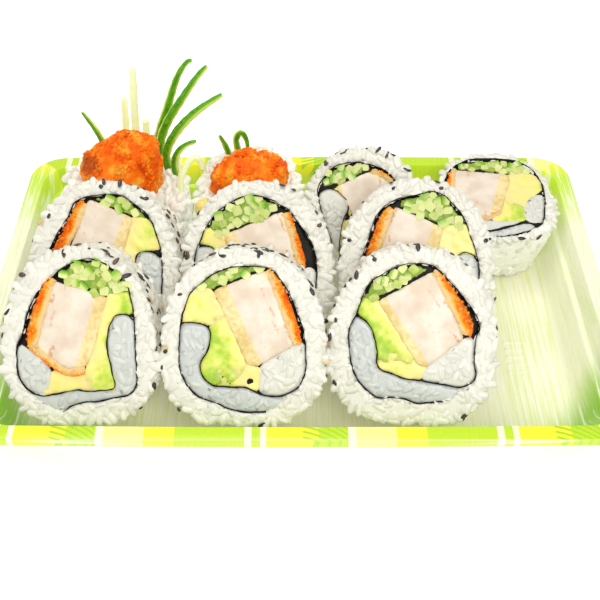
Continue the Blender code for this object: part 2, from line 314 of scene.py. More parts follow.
# five low bars pressed into the free end of the floor
BAR_SIZE = (7.6, 1.5, 0.5)
BAR_PLACES = [(77.6, -11.4 - 3.7 * row) for row in range(5)]
bars = []
for across, deep in BAR_PLACES:
    bpy.ops.mesh.primitive_cube_add(size=1.0, location=(across * MM, deep * MM, 0.85 * MM))
    bar = bpy.context.object
    bar.name = "floor_bars"
    bar.scale = Vector(BAR_SIZE) * MM
    bpy.ops.object.transform_apply(location=True, rotation=True, scale=True)
    edit_all()
    bpy.ops.mesh.bevel(offset=0.22 * MM, segments=3)
    bpy.ops.object.mode_set(mode="OBJECT")
    bars.append(bar)
bpy.ops.object.select_all(action="DESELECT")
for bar in bars:
    bar.select_set(True)
bpy.ops.object.join()
floor_bars = bpy.context.object
bpy.ops.object.transform_apply(location=True, rotation=True, scale=True)
bpy.ops.object.shade_smooth_by_angle(angle=math.radians(35.0))

PRINT_LIME = (0.50, 0.72, 0.012)
PRINT_YELLOW = (0.84, 0.83, 0.02)
PRINT_PALE = (0.86, 0.88, 0.26)
PRINT_CREAM = (0.91, 0.92, 0.60)
PRINT_LEAF = (0.36, 0.62, 0.015)
FLOOR_CREAM = (0.86, 0.86, 0.56)
FLOOR_WHITE = (0.91, 0.91, 0.74)
FLOOR_GREEN = (0.74, 0.82, 0.38)
# start of each printed field along one repeat of the pattern, as a share of it
FIELDS = [
    (0.00, PRINT_LIME), (0.14, PRINT_CREAM), (0.165, PRINT_LIME), (0.20, PRINT_CREAM),
    (0.225, PRINT_YELLOW), (0.43, PRINT_LIME), (0.55, PRINT_CREAM), (0.58, PRINT_PALE),
    (0.74, PRINT_YELLOW), (0.86, PRINT_LIME),
]
REPEAT = 78.0
# colour along a short side, from its near corner to its far one
SIDE_FADE = [
    (0.00, (0.13, 0.40, 0.015)), (0.09, (0.26, 0.56, 0.04)), (0.18, (0.72, 0.83, 0.38)),
    (0.28, (0.89, 0.91, 0.64)), (0.70, (0.88, 0.91, 0.62)), (0.80, (0.64, 0.82, 0.16)),
    (0.90, (0.54, 0.78, 0.03)), (0.95, (0.84, 0.87, 0.04)),
]

# the printed sheet also glows a little with its own colour: a painted glow that lifts the shade at
# the foot of its walls
tray_look, tray_shader, place = new_look(
    "printed_plastic", Coat_Weight=0.12, Coat_Roughness=0.08, Emission_Strength=0.14)
parts = place.node("ShaderNodeSeparateXYZ", {}, {0: place}).socket.node.outputs
across, deep, height = (Wire(place.tree, part) * (1.0 / MM) for part in parts)
from_end = TRAY_HALF_X - abs(across)
from_side = TRAY_HALF_Y + SIDE_BOW - abs(deep)
on_long_side = (from_end - from_side).above(0.0, 0.3)
cycle = place.math("FRACT", across / REPEAT + 10.36)
fields = place.node("ShaderNodeValToRGB", {"stops": FIELDS, "steps": "CONSTANT"}, {0: cycle})
# a leaf of curved ribs in the wide lime field
leaf_x = (cycle - 0.47) * REPEAT
swing = leaf_x * leaf_x * 0.035 + leaf_x * 0.9
ribs = place.math("SINE", (from_side * 1.5 + swing) * 1.9)
in_leaf = cycle.above(0.37, 0.006) * (1.0 - cycle.above(0.55, 0.003))
rim_print = (ribs.above(0.35, 0.25) * in_leaf).paint(fields, PRINT_LEAF)
# the sheet was drawn down hot, which pulled its colour into long fine streaks


def streaks(across_scale, deep_scale, across, **settings):
    """Tone drawn out along the tray's depth."""
    stretched = place.node("ShaderNodeCombineXYZ", {},
                           {0: across * across_scale, 1: deep * deep_scale, 2: 0.0})
    return place.node("ShaderNodeTexNoise", {"noise_dimensions": "2D"},
                      {"Vector": stretched, "Scale": 1.0, **settings})


side_streaks = streaks(1.15, 0.035, from_end, Detail=3.0, Roughness=0.7)
floor_streaks = streaks(0.85, 0.022, across, Detail=3.0, Roughness=0.65)
wide = streaks(0.07, 0.03, across, Detail=1.0)
along_side = (deep + TRAY_HALF_Y + SIDE_BOW) / (2.0 * (TRAY_HALF_Y + SIDE_BOW))
side_fade = place.node("ShaderNodeValToRGB", {"stops": SIDE_FADE},
                       {0: along_side + (side_streaks - 0.5) * 0.10})
side_colour = (side_streaks.above(0.60, 0.05) * 0.75).paint(side_fade, (0.91, 0.93, 0.76))
green_lines = (1.0 - side_streaks).above(0.58, 0.07) * (1.0 - from_end.above(10.0, 8.0))
side_colour = (green_lines * 0.3).paint(side_colour, (0.46, 0.72, 0.10))
long_colour = (floor_streaks.above(0.55, 0.12) * 0.6).paint(PRINT_LIME, (0.66, 0.82, 0.12))
# the long walls run darker green toward their foot
long_colour = (1.0 - height.above(6.0, 4.0)).paint(long_colour, (0.40, 0.60, 0.05))
long_colour = height.above(17.5, 2.5).paint(long_colour, rim_print)
floor_colour = (floor_streaks.above(0.52, 0.10) * 0.8).paint(FLOOR_CREAM, FLOOR_WHITE)
toward_side = (abs(across) / TRAY_HALF_X * 0.30 + wide * 0.8).above(0.60, 0.12)
calm = 1.0 - floor_streaks.above(0.5, 0.15)
floor_colour = (toward_side * calm * 0.8).paint(floor_colour, FLOOR_GREEN)
colour = on_long_side.paint(side_colour, long_colour)
colour = height.above(2.4, 1.8).paint(floor_colour, colour)
# the near corners, below the rim, carry a patch of strong green
from_corner = from_end * 0.9 + (deep + TRAY_HALF_Y) * 0.8 + side_streaks * 8.0
near_corner = (1.0 - from_corner.above(40.0, 9.0)) * (1.0 - height.above(18.0, 2.0))
near_corner = near_corner * (1.0 - side_streaks.above(0.62, 0.04) * 0.7)
colour = (near_corner * 0.85).paint(colour, (0.24, 0.54, 0.02))
# light catches the fold of the long rims
fold = (1.0 - abs(from_side - 0.5).above(0.12, 0.10)) * on_long_side * height.above(20.0, 0.5)
colour = (fold * 0.5).paint(colour, (0.94, 0.95, 0.80))
# all colours are dimmed a little to make up for the sheet's painted glow
colour = place.node("ShaderNodeMix", {"data_type": "RGBA", "blend_type": "MULTIPLY"},
                    {0: 1.0, 6: colour, 7: (0.90, 0.89, 0.90)}, output=2)
grain_height = floor_streaks * 0.7 + mottle(place, 900.0) * 0.3
feed(tray_shader, Base_Color=colour, Emission_Color=colour,
     Roughness=floor_streaks * 0.16 + 0.20, Normal=relief(0.10, 0.2, grain_height))
for piece in (tray, floor_bars):
    piece.data.materials.clear()
    piece.data.materials.append(tray_look)
    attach(piece, "root")
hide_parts("tray")

# ------------------------------------------------------------------ nori
# Each slice is cut from one roll: a sheet of dark dried seaweed wrapped once
# round the filling, its inner end lapped over a tongue of rice.
# name, lean, turn, roll of each slice; the flat one is tipped nearly on its back
SLICES = {
    "slice_front_left": (36.0, 0.0, -3.0),
    "slice_front_mid": (36.0, 0.0, 2.0),
    "slice_front_right": (36.0, -6.0, 0.0),
    "slice_mid_left": (38.0, 0.0, 0.0),
    "slice_mid_centre": (38.0, 0.0, 3.0),
    "slice_mid_right": (38.0, -4.0, -3.0),
    "slice_back": (36.0, 0.0, -12.0),
    "slice_flat": (84.0, 0.0, 0.0),
}
FLAT_CENTRE = (75.0, 41.1, 28.45)
FLAT_DEPTH = 27.0
FLAT_TAPER = 0.29
RESTS_AT = 0.95
FLAT_TIP = math.tan(math.radians(6.0))


def about(axis, angle):
    """Rotation by an angle about X, Y or Z, which are 0, 1 and 2."""
    first, second = (axis + 1) % 3, (axis + 2) % 3
    turn = np.eye(3)
    turn[first, first] = turn[second, second] = math.cos(angle)
    turn[second, first] = math.sin(angle)
    turn[first, second] = -turn[second, first]
    return turn


class Slice:
    """One cut slice: its place, and the reach of its outline at every angle."""

    def __init__(self, name, lean, turn, roll):
        self.flat = lean > 80.0
        self.seed = list(SLICES).index(name) + 1
        turn, lean, roll = (math.radians(value) for value in (turn, -lean, roll))
        self.axes = about(2, turn) @ about(0, lean) @ about(1, roll)
        points = node_points(name)
        if self.flat:
            self.centre = np.array(FLAT_CENTRE)
            self.depth = FLAT_DEPTH
            own = points - self.centre
            rim = own[own[:, 2] > -3.5 + own[:, 1] * FLAT_TIP]
            across, up = rim[:, 0], rim[:, 1] / math.cos(math.radians(6.0))
        else:
            own = points @ self.axes
            low, high = own.min(0), own.max(0)
            self.depth = high[1] - low[1]
            middle = (low + high) / 2.0
            self.centre = np.array([middle[0], low[1], middle[2]]) @ self.axes.T
            own = own - [middle[0], low[1], middle[2]]
            across, up = own[:, 0], own[:, 2]
        angles, reaches = np.arctan2(up, across), np.hypot(across, up)
        steps = np.linspace(-math.pi, math.pi, 73)
        apart = abs((angles[:, None] - steps + math.pi) % (2.0 * math.pi) - math.pi)
        best = np.where(apart < 0.12, reaches[:, None], 0.0).max(0)
        met = best > 0.0
        self.steps, self.reaches = steps, np.interp(steps, steps[met], best[met])

    def outline(self, inset, count=90):
        angles = np.linspace(-math.pi, math.pi, count, endpoint=False)
        reach = np.interp(angles, self.steps, self.reaches) - inset
        return np.stack([reach * np.cos(angles), reach * np.sin(angles)], 1)

    def settle(self, points):
        """Takes points across, deep and up the slice to their place in metres."""
        points = np.asarray(points, float).reshape(-1, 3)
        if not self.flat:
            placed = points @ self.axes.T + self.centre
            placed[:, 2] = np.maximum(placed[:, 2], RESTS_AT)
            return placed * MM
        share = np.clip(points[:, 1] / self.depth, 0.0, 1.0)
        narrow = 1.0 - FLAT_TAPER * share ** 1.6
        tilt = FLAT_TIP * (1.0 - share)
        up = self.centre[2] + points[:, 2] * tilt - points[:, 1]
        return np.stack([self.centre[0] + points[:, 0] * narrow,
                         self.centre[1] + points[:, 2] * narrow,
                         np.maximum(up, RESTS_AT)], 1) * MM


def node_points(name):
    data = nodes[name].data
    points = np.empty(len(data.vertices) * 3)
    data.vertices.foreach_get("co", points)
    return points.reshape(-1, 3) / MM


def inside(points, loop):
    """Which points lie inside a closed loop."""
    loop = np.asarray(loop, float)
    after = np.roll(loop, -1, 0)
    x, y = points[:, 0][:, None], points[:, 1][:, None]
    spans = (loop[:, 1] > y) != (after[:, 1] > y)
    rise = np.where(after[:, 1] == loop[:, 1], 1e-9, after[:, 1] - loop[:, 1])
    cut = loop[:, 0] + (y - loop[:, 1]) / rise * (after[:, 0] - loop[:, 0])
    return (spans & (x < cut)).sum(1) % 2 == 1


def distance(points, loop, closed=True):
    """Distance of each point from a line of points."""
    loop = np.asarray(loop, float)
    after = np.roll(loop, -1, 0) if closed else loop[1:]
    start = loop if closed else loop[:-1]
    run = after - start
    length = np.maximum((run ** 2).sum(1), 1e-9)
    offset = points[:, None, :] - start
    share = np.clip((offset * run).sum(2) / length, 0.0, 1.0)
    return np.sqrt(((offset - share[..., None] * run) ** 2).sum(2)).min(1)


def softened(line, closed=True, rounds=2, reach=1.3):
    """Cuts the corners of a line of points, by no more than some reach."""
    line = np.asarray(line, float)
    for _ in range(rounds):
        after = np.roll(line, -1, 0) if closed else line[1:]
        start = line if closed else line[:-1]
        share = np.minimum(0.25, reach / np.maximum(np.hypot(*(after - start).T), 1e-6))[:, None]
        cut = np.stack([start + share * (after - start), after - share * (after - start)],
                       1).reshape(-1, 2)
        line = cut if closed else np.vstack([line[:1], cut, line[-1:]])
    return line


def so_far(line):
    """How far along a flat line each of its points lies."""
    return np.concatenate([[0.0], np.cumsum(np.hypot(*np.diff(line, axis=0).T))])


def spaced(line, gap, closed=True):
    """The same line with its points at even gaps."""
    line = np.asarray(line, float)
    if closed:
        line = np.vstack([line, line[:1]])
    lengths = so_far(line)
    count = max(6, int(lengths[-1] / gap))
    places = np.linspace(0.0, lengths[-1], count, endpoint=not closed)
    return np.stack([np.interp(places, lengths, line[:, axis]) for axis in (0, 1)], 1)


def square_to(line):
    """At each point of a line, the direction square to it."""
    run = np.gradient(line, axis=0)
    return np.stack([-run[:, 1], run[:, 0]], 1) / np.hypot(run[:, 0], run[:, 1])[:, None]


def wavy(points, size, seed):
    """Smooth noise at each point, between about -1 and 1."""
    return np.array([noise.noise(Vector((x / size, y / size, seed * 7.3))) for x, y in points])


def at_depth(flat, depth):
    """Points drawn on a cut face, set at some depth behind it."""
    return np.stack([flat[:, 0], np.broadcast_to(depth, len(flat)), flat[:, 1]], 1)


def shaken(loop, by, size, first_seed, second_seed):
    """A loop with its points moved about by a smooth noise of some size."""
    return loop + by * np.stack([wavy(loop, size, first_seed), wavy(loop, size, second_seed)], 1)


def dress(piece, look, slot, **tones):
    """Gives a piece its material and tones, and lets it ride on the tray."""
    for tone, values in tones.items():
        layer = piece.data.attributes.new(tone, "FLOAT", "POINT")
        layer.data.foreach_set("value", np.asarray(values, np.float32).ravel())
    piece.data.materials.append(look)
    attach(piece, "root")


def make_piece(name, points, faces, look, slot, smooth=True, **tones):
    """A piece made of points already in metres, dressed."""
    data = bpy.data.meshes.new(name)
    data.from_pydata(np.asarray(points).tolist(), [], faces)
    piece = bpy.data.objects.new(name, data)
    bpy.context.scene.collection.objects.link(piece)
    if smooth:
        data.shade_smooth()
    dress(piece, look, slot, **tones)
    return piece


def skinned(name, rows, look, slot, **tones):
    """A solid piece with its skin over rows of points, each row running along it."""
    count, bands = len(rows[0]), len(rows)
    faces = []
    for band in range(bands):
        this, following = band * count, (band + 1) % bands * count
        for step in range(count - 1):
            faces.append((this + step, this + step + 1, following + step + 1, following + step))
    faces.append(tuple(band * count for band in range(bands)))
    faces.append(tuple(band * count + count - 1 for band in reversed(range(bands))))
    piece = make_piece(name, np.concatenate(rows), faces, look, slot, **tones)
    shell = bmesh.new()
    shell.from_mesh(piece.data)
    bmesh.ops.recalc_face_normals(shell, faces=shell.faces[:])
    shell.to_mesh(piece.data)
    shell.free()
    return piece


# outer turn of the sheet, then its inner end, on the cut face of each slice
NORI_TURN = {
    "slice_front_left": [
        (-6.5, -23.5), (-2.9, -21.3), (1.6, -20.4), (3.9, -21.0), (9.8, -19.9), (15.2, -19.3),
        (17.6, -16.5), (17.8, -12.2), (17.9, -3.2), (18.2, 5.9), (17.6, 12.2), (16.6, 16.3),
        (13.4, 20.4), (8.9, 24.0), (3.9, 24.9), (-1.5, 23.2), (-6.5, 19.8), (-10.9, 15.8),
        (-14.2, 11.3), (-16.3, 5.9), (-17.2, 1.8), (-19.4, -0.9), (-19.9, -7.7), (-19.6, -12.2),
        (-16.5, -16.7)],
    "slice_front_mid": [
        (7.7, -23.3), (5, -23.5), (0.5, -23.7), (-5, -22.6), (-8.6, -20.8), (-14, -19.5),
        (-17.6, -15.8), (-19.9, -11.3), (-20.4, -6.8), (-20.4, 0.5), (-19.7, 6.8), (-17.6, 13.6),
        (-12.2, 18.6), (-8.1, 21.3), (-3.2, 22.7), (2, 22.8), (6.9, 22.9), (10.6, 19.7),
        (13.9, 14.9), (16.2, 9.5), (18.2, 5), (19.2, 0.5), (19.9, -5.9), (19.9, -10.4),
        (18.1, -14.9), (14.5, -17.6)],
    "slice_front_right": [
        (11, -19.9), (7.3, -20.4), (2.8, -21.3), (-0.8, -19.9), (-5.3, -19.7), (-9, -20.4),
        (-11.7, -19.5), (-16.2, -15.8), (-18.9, -10.4), (-19.8, -5), (-20.5, -0.5), (-19.8, 3.2),
        (-18, 6.8), (-16.7, 12.2), (-14.4, 17.2), (-9.4, 20.4), (-5.3, 22.6), (0.1, 23.7),
        (5.2, 23.1), (9.6, 19.0), (14.4, 14.3), (17.9, 10.3), (20.2, 6.8), (20.7, 4.1),
        (19.6, 1.4), (19.6, -6.8), (20.9, -10.4), (20, -13.1), (16.4, -15.1)],
    "slice_mid_left": [
        (-6.5, -22.5), (-2.9, -20.8), (3.9, -20.6), (9.8, -19.6), (15.8, -18.6), (18.6, -14),
        (19.6, -6), (19.5, 1.6), (19.3, 5.9), (17.9, 10.1), (16.4, 15.1), (13.6, 18.7), (10, 21.2),
        (6.4, 24.1), (1.4, 24.3), (-1.8, 23.9), (-6.6, 23.4), (-10.0, 21.5), (-11.3, 17.6),
        (-14.1, 13.7), (-17.3, 8), (-18.6, 5.1), (-19.8, 0), (-20, -7), (-19.4, -12.5),
        (-16.5, -16.7)],
    "slice_mid_centre": [
        (8, -22.6), (0.5, -23), (-8.6, -20.4), (-14.5, -17.8), (-18.6, -13), (-20.9, -6),
        (-21.6, 0.4), (-20.9, 5.0), (-20, 7.3), (-18.2, 12.3), (-15.7, 16.6), (-12.1, 19.8),
        (-7.9, 22.6), (-4.3, 23.9), (0.7, 23.7), (4.3, 22.5), (6.6, 20.9), (9.4, 20.0),
        (12.0, 16.6), (15.6, 12.3), (18.0, 8.7), (19.5, 4.4), (20.1, 0.1), (20.2, -4.9),
        (19.6, -10.4), (18.1, -14.9), (14.5, -17.6)],
    "slice_mid_right": [
        (-7, -22.5), (-2.9, -20.8), (3.9, -20.6), (10.6, -19.4), (16.4, -17.4), (19.8, -12),
        (21.2, -5), (21.2, -1.3), (20.8, 2.3), (19.4, 6.6), (17.6, 12.3), (15.8, 16.6),
        (12.2, 20.9), (8.9, 24.1), (5, 25.1), (0.7, 23.7), (-4.3, 23.1), (-8.8, 21.4),
        (-12.4, 18.4), (-14.5, 14.4), (-15.8, 9.4), (-17.5, 5.1), (-19.0, -1), (-19.6, -8),
        (-18.9, -13), (-16.0, -17.2)],
    "slice_back": [
        (-14.3, -8.6), (-15.5, -1), (-15.8, 5), (-15.9, 10.9), (-14.6, 13.4), (-12.1, 15.8),
        (-9.3, 18.1), (-5.7, 19.0), (-1.4, 18.8), (2.9, 17.8), (7.3, 15.4), (10.4, 13.2),
        (12.9, 9.6), (14.5, 4), (15, -4), (13.5, -11), (8, -16), (0, -18), (-8, -17),
        (-13, -13.5)],
    "slice_flat": [
        (-2.5, -22.6), (4.3, -21.6), (10, -19.5), (13.6, -16.8), (15.7, -15.2), (16.9, -11.3),
        (18.1, -5.6), (18.7, 0.9), (18.6, 5.9), (17.4, 10.9), (16.0, 14.6), (13.1, 17.9),
        (10, 19.6), (5.7, 20.6), (0, 21.1), (-7.9, 20.7), (-11.6, 18.6), (-14.7, 16.1),
        (-17.0, 13), (-18.7, 8.7), (-20.0, 4), (-20, -4), (-18.8, -11), (-15.5, -17),
        (-10, -20.6)],
}
NORI_END = {
    "slice_front_left": [
        (-16.5, -16.7), (-11.9, -18.3), (-8.3, -17.6), (-1.1, -16.6), (1.6, -17.3), (11.1, -17.3),
        (9.8, -10.4), (8.7, -3.2), (9.8, 2.3), (11.6, 5.9), (13.8, 7.0), (16.6, 6.3), (17.7, 4.6)],
    "slice_front_mid": [
        (14.5, -17.6), (9.5, -18.6), (5, -17.6), (1.4, -15.6), (-5, -15.8), (-10.4, -15.4),
        (-13.1, -12.2), (-13.8, -8.6), (-11.3, -4.6), (-10.4, -0.5), (-10.9, 3.2), (-14.9, 4.7),
        (-19.4, 4.2)],
    "slice_front_right": [
        (16.4, -15.1), (11, -14.5), (2.8, -13.6), (-1.7, -13.6), (-5.3, -12.2), (-10.8, -10.9),
        (-10.8, -5.9), (-11.7, -2.3), (-13, 1.8), (-15.3, 4.5), (-18.2, 5.6)],
    "slice_mid_left": [
        (-16.5, -16.7), (-11.9, -18.1), (-8.3, -17.4), (-1.1, -16.4), (10.8, -17), (11.2, -10.4),
        (10.4, -3.2), (10.4, 2.4), (11.3, 4.4), (13.6, 5.3), (16.6, 5.0), (19.2, 3.4)],
    "slice_mid_centre": [
        (14.5, -17.6), (9.5, -18.6), (1.4, -15.8), (-8.4, -15.4), (-13.1, -11.2), (-12.8, -5.6),
        (-12.4, 0.5), (-13.4, 4.2), (-16.4, 6.2), (-20.2, 6.4)],
    "slice_mid_right": [
        (-16.0, -17.2), (-8.3, -16.6), (2.0, -15.8), (10.8, -16.4), (11.6, -9.4), (11.4, -2.2),
        (12.6, 1.9), (14.8, 3.9), (17.4, 4.4), (20.2, 2.6)],
    "slice_back": [
        (-13, -13.5), (-11, -7), (-8.6, -0.8), (-6.2, 1.6), (-5.5, 4.4), (-6.8, 7.3), (-8.6, 10.1),
        (-12, 11.4), (-15.4, 10.2)],
    "slice_flat": [
        (-10, -20.6), (-5.4, -19.6), (-1.9, -18.6), (0.7, -17.7), (5, -16.3), (8.9, -14.5)],
}
NORI_THICK = 0.34
# how far in from each cut face the sheet is evened out
NORI_EDGE = 1.2

nori_look, nori_shader, place = new_look(
    "seaweed", Specular_IOR_Level=0.12, Coat_Weight=0.04, Coat_Roughness=0.35)
fibres = mottle(place, 900.0, 4.0)
dark = mottle(place, 160.0).above(0.55, 0.12).paint((0.005, 0.006, 0.005), (0.014, 0.011, 0.008))
feed(nori_shader, Base_Color=fibres.above(0.68, 0.06).paint(dark, (0.05, 0.04, 0.025)),
     Roughness=fibres * 0.5 + 0.30, Normal=relief(0.5, 0.15, fibres))

slices = {name: Slice(name, *pose) for name, pose in SLICES.items()}
for name, cut in slices.items():
    line = spaced(softened(NORI_TURN[name][:-1] + NORI_END[name], closed=False), 0.7, closed=False)
    aside = square_to(line)
    line = line + aside * (0.22 * wavy(line, 2.2, cut.seed))[:, None]
    half = NORI_THICK / 2.0 * (1.0 + 0.9 * wavy(line, 1.7, cut.seed + 20))[:, None]
    near = 0.09 * wavy(line, 3.0, cut.seed + 40)
    depths = (near, near + NORI_EDGE, cut.depth * 0.5, cut.depth - near - NORI_EDGE,
              cut.depth - near)
    outer, inner = ([cut.settle(at_depth(edge, depth)) for depth in depths]
                    for edge in (line + aside * half, line - aside * half))
    skinned(name + "_nori", outer + inner[::-1], nori_look, "nori")

# ------------------------------------------------------------------ rice of the slices
# Short-grain rice pressed into a ring round the nori and cut with a wet knife.
# A core of packed rice carries single grains on its side and both cut faces.
GRAIN = (5.0, 2.9, 2.4)
# how much fuller than an egg shape a grain is, by the share of its length from its middle
GRAIN_FULL = ((0.0, 0.5, 0.87, 1.0), (1.0, 1.08, 1.32, 1.32))
CORE_INSET = 0.6
CORE_SINK = 0.13
TURN_SINK = 1.0
GRAIN_GAP_FACE = 2.0
GRAIN_GAP_SIDE = 2.6
# least and most of a grain's length, width and thickness, as shares of its usual size
GRAIN_SPREAD = ((0.85, 0.9, 0.9), (1.1, 1.15, 1.15))
# how far the middle of a side grain stays from both cut faces
GRAIN_IN = 1.1
# the slice that lies flat was pressed smoother than the others
SIDE_PRESS = {"slice_flat": 0.5}
# its rice is also painted lighter, up into the rice's painted glow, and it bears fewer seeds
SIDE_PAINTED_LIGHT_FEW_SEEDS = {"slice_flat": 0.75}

rice_look, rice_shader, place = new_look(
    "cooked_rice", Coat_Weight=0.15, Coat_Roughness=0.3, Emission_Strength=1.0)
shade, cool = carried(place, "shade"), carried(place, "cool")
cloud = mottle(place, 420.0, 3.0)
white = (shade * 0.8 + cloud * 0.4).above(0.6, 0.5).paint((0.59, 0.57, 0.495), (0.69, 0.67, 0.59))
# where cool is high the rice is painted grey: painted shade for the rice inside the turn of nori
grey = (shade * 0.6 + cloud * 0.5).above(0.5, 0.5).paint((0.37, 0.40, 0.40), (0.51, 0.53, 0.50))
# painted glow: all the rice glows a little to lift its shade, and more where its tone passes 1.3,
# as on loose grains and the flat slice's side
painted_glow = shade.above(1.3, 0.2).paint((0.10, 0.10, 0.086), (0.25, 0.275, 0.245))
feed(rice_shader, Base_Color=cool.paint(white, grey), Emission_Color=painted_glow,
     Roughness=cloud * 0.3 + 0.25, Normal=relief(0.35, 0.25, cloud))


def taken():
    """The points and faces of the piece just shaped, which is then cleared away."""
    piece = bpy.context.object
    points = np.array([vert.co[:] for vert in piece.data.vertices])
    faces = [tuple(face.vertices) for face in piece.data.polygons]
    bpy.data.objects.remove(piece, do_unlink=True)
    return points, faces


def kernel(size):
    """An egg shape of some length, width and thickness, lying along X."""
    middle = (0.0, 0.0, 0.0)
    bpy.ops.mesh.primitive_uv_sphere_add(segments=8, ring_count=6, radius=0.5, location=middle)
    edit_all()
    bpy.ops.transform.rotate(value=math.pi / 2.0, orient_axis="Y", center_override=middle)
    bpy.ops.transform.resize(value=size, center_override=middle)
    bpy.ops.object.mode_set(mode="OBJECT")
    return taken()


# one grain: a short fat lozenge with blunt ends, flatter on one side
GRAIN_POINTS, GRAIN_FACES = kernel(GRAIN)
GRAIN_POINTS[:, 1:] *= np.interp(abs(GRAIN_POINTS[:, 0]) * 2.0 / GRAIN[0], *GRAIN_FULL)[:, None]
GRAIN_POINTS[:, 1] *= 1.0 + 0.10 * np.sin(GRAIN_POINTS[:, 0] * 0.9)
GRAIN_POINTS[:, 2] *= np.where(GRAIN_POINTS[:, 2] < 0.0, 0.85, 1.0)
GRAIN_POINTS[:, 2] += 0.045 * GRAIN_POINTS[:, 0] ** 2


def thinned(tries, gap):
    """Which of the tries stay, when each keeps a gap from those before it."""
    around = list(itertools.product((-1, 0, 1), repeat=tries.shape[1]))
    cells, taken_up = {}, []
    for number, spot in enumerate(tries):
        cell = tuple((spot // gap).astype(int))
        near = [other for step in around
                for other in cells.get(tuple(map(sum, zip(cell, step))), ())]
        if all(((spot - other) ** 2).sum() > gap * gap for other in near):
            cells.setdefault(cell, []).append(spot)
            taken_up.append(number)
    return taken_up


def scatter(loop, holes, gap, rng, crowd=60):
    """Spots at least a gap apart inside a loop and outside the holes."""
    low, high = np.min(loop, 0), np.max(loop, 0)
    count = int(np.prod(high - low) / gap ** 2 * crowd / 6.0)
    tries = rng.uniform(low, high, (count, 2))
    tries = tries[inside(tries, loop)]
    for hole in holes:
        tries = tries[~inside(tries, hole)]
    return tries[thinned(tries, gap)].reshape(-1, 2)


def turned(first, second):
    """Rotations whose first axis is first, and whose third leans to second."""
    first = first / np.linalg.norm(first, axis=1)[:, None]
    side = np.cross(second, first)
    side = side / np.maximum(np.linalg.norm(side, axis=1), 1e-6)[:, None]
    third = np.cross(first, side)
    return np.stack([first, side, third], 2)


def strewn(shape, faces, spots, turns, sizes):
    """Copies of a shape at the spots: all their points, and all their faces."""
    points = np.einsum("nij,nkj->nki", turns, shape[None] * sizes[:, None, :]) + spots[:, None, :]
    count = len(shape)
    every = [tuple(index + number * count for index in face)
             for number in range(len(spots)) for face in faces]
    return points, every


def toned(shape, faces, spots, turns, sizes, tones, others=0.0):
    """Copies of a shape at the spots, with two tones for each copy."""
    points, every = strewn(shape, faces, spots, turns, sizes)
    spread = [np.repeat(np.broadcast_to(tone, len(spots)), len(shape)) for tone in (tones, others)]
    return points.reshape(-1, 3), every, *spread


def cut_grains(cut, spots, rng, cool_tone, near_face, bound, within):
    """Grains lying every way at a cut face, sliced level with it, on one side of a bound."""
    count = len(spots)
    way = rng.normal(size=(count, 3)) * (1.0, 0.3, 1.0)
    up = rng.normal(size=(count, 3))
    sizes = rng.uniform((0.85, 0.85, 0.85), (1.1, 1.15, 1.15), (count, 3))
    middle = at_depth(spots, 0.0)
    points, faces = strewn(GRAIN_POINTS, GRAIN_FACES, middle, turned(way, up), sizes)
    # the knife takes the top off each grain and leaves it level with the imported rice
    level = rng.uniform(0.0, 0.06, count)
    top = points[..., 1].min(1) + rng.uniform(0.2, 0.8, count)
    points[..., 1] = np.maximum(points[..., 1] - top[:, None], 0.0) + level[:, None]
    # grains don't cross the sheet of seaweed
    astray = inside(points[..., [0, 2]].reshape(-1, 2), bound).reshape(count, -1) != within
    pulled_in = 0.3 * points + 0.7 * middle[:, None, :]
    for axis in (0, 2):
        points[..., axis] = np.where(astray, pulled_in[..., axis], points[..., axis])
    if not near_face:
        points[..., 1] = cut.depth - points[..., 1]
        faces = [tuple(reversed(face)) for face in faces]
    tones = np.repeat(rng.random(count), len(GRAIN_POINTS))
    return points.reshape(-1, 3), faces, tones, np.full(len(tones), cool_tone)


def side_grains(cut, rng, press, painted_light_lift):
    """Grains lying along the side of the roll between its cut faces."""
    rim = cut.outline(0.0, 240)
    rim = np.vstack([rim, rim[:1]])
    lengths = so_far(rim)
    whole, far = lengths[-1], cut.depth - GRAIN_IN
    sheet = np.array([(0.0, GRAIN_IN), (whole, GRAIN_IN), (whole, far), (0.0, far)])
    spots = scatter(sheet, [], GRAIN_GAP_SIDE, rng)
    across, up = (np.interp(spots[:, 0], lengths, along) for along in rim.T)
    reach = np.hypot(across, up)
    outward = np.stack([across / reach, np.zeros(len(reach)), up / reach], 1)
    sink = rng.uniform(1.1, 1.55, len(reach)) + press
    middle = np.stack([across, spots[:, 1], up], 1) - outward * sink[:, None]
    round_way = np.stack([-outward[:, 2], np.zeros(len(reach)), outward[:, 0]], 1)
    deep_way = np.array([0.0, 1.0, 0.0])
    angle = rng.uniform(0.0, math.pi, len(reach))
    way = (round_way * np.cos(angle)[:, None] + deep_way * np.sin(angle)[:, None]
           + outward * rng.normal(0.0, 0.09, len(reach))[:, None])
    sizes = rng.uniform(*GRAIN_SPREAD, (len(reach), 3))
    points, faces = strewn(GRAIN_POINTS, GRAIN_FACES, middle, turned(way, outward), sizes)
    low = rng.uniform(0.1, 0.9, len(reach))[:, None]
    points[..., 1] = np.clip(points[..., 1], low, cut.depth - low)
    tones = np.repeat(rng.random(len(reach)) + painted_light_lift, len(GRAIN_POINTS))
    return points.reshape(-1, 3), faces, tones, np.zeros(len(tones))


def joined(parts):
    """Puts several sets of points, faces and tones together."""
    faces, start = [], 0
    for points, part_faces, *_ in parts:
        faces += [tuple(index + start for index in face) for face in part_faces]
        start += len(points)
    points, tones, others = (np.concatenate([part[kind] for part in parts]) for kind in (0, 2, 3))
    return points, faces, tones, others


def grown(loop, by):
    """A closed loop moved outward by some distance."""
    loop = np.asarray(loop, float)
    run = np.roll(loop, -1, 0) - np.roll(loop, 1, 0)
    aside = np.stack([run[:, 1], -run[:, 0]], 1) / np.maximum(np.hypot(*run.T), 1e-6)[:, None]
    area = (loop[:, 0] * np.roll(loop[:, 1], -1) - np.roll(loop[:, 0], -1) * loop[:, 1]).sum()
    return loop + aside * (by if area > 0.0 else -by)


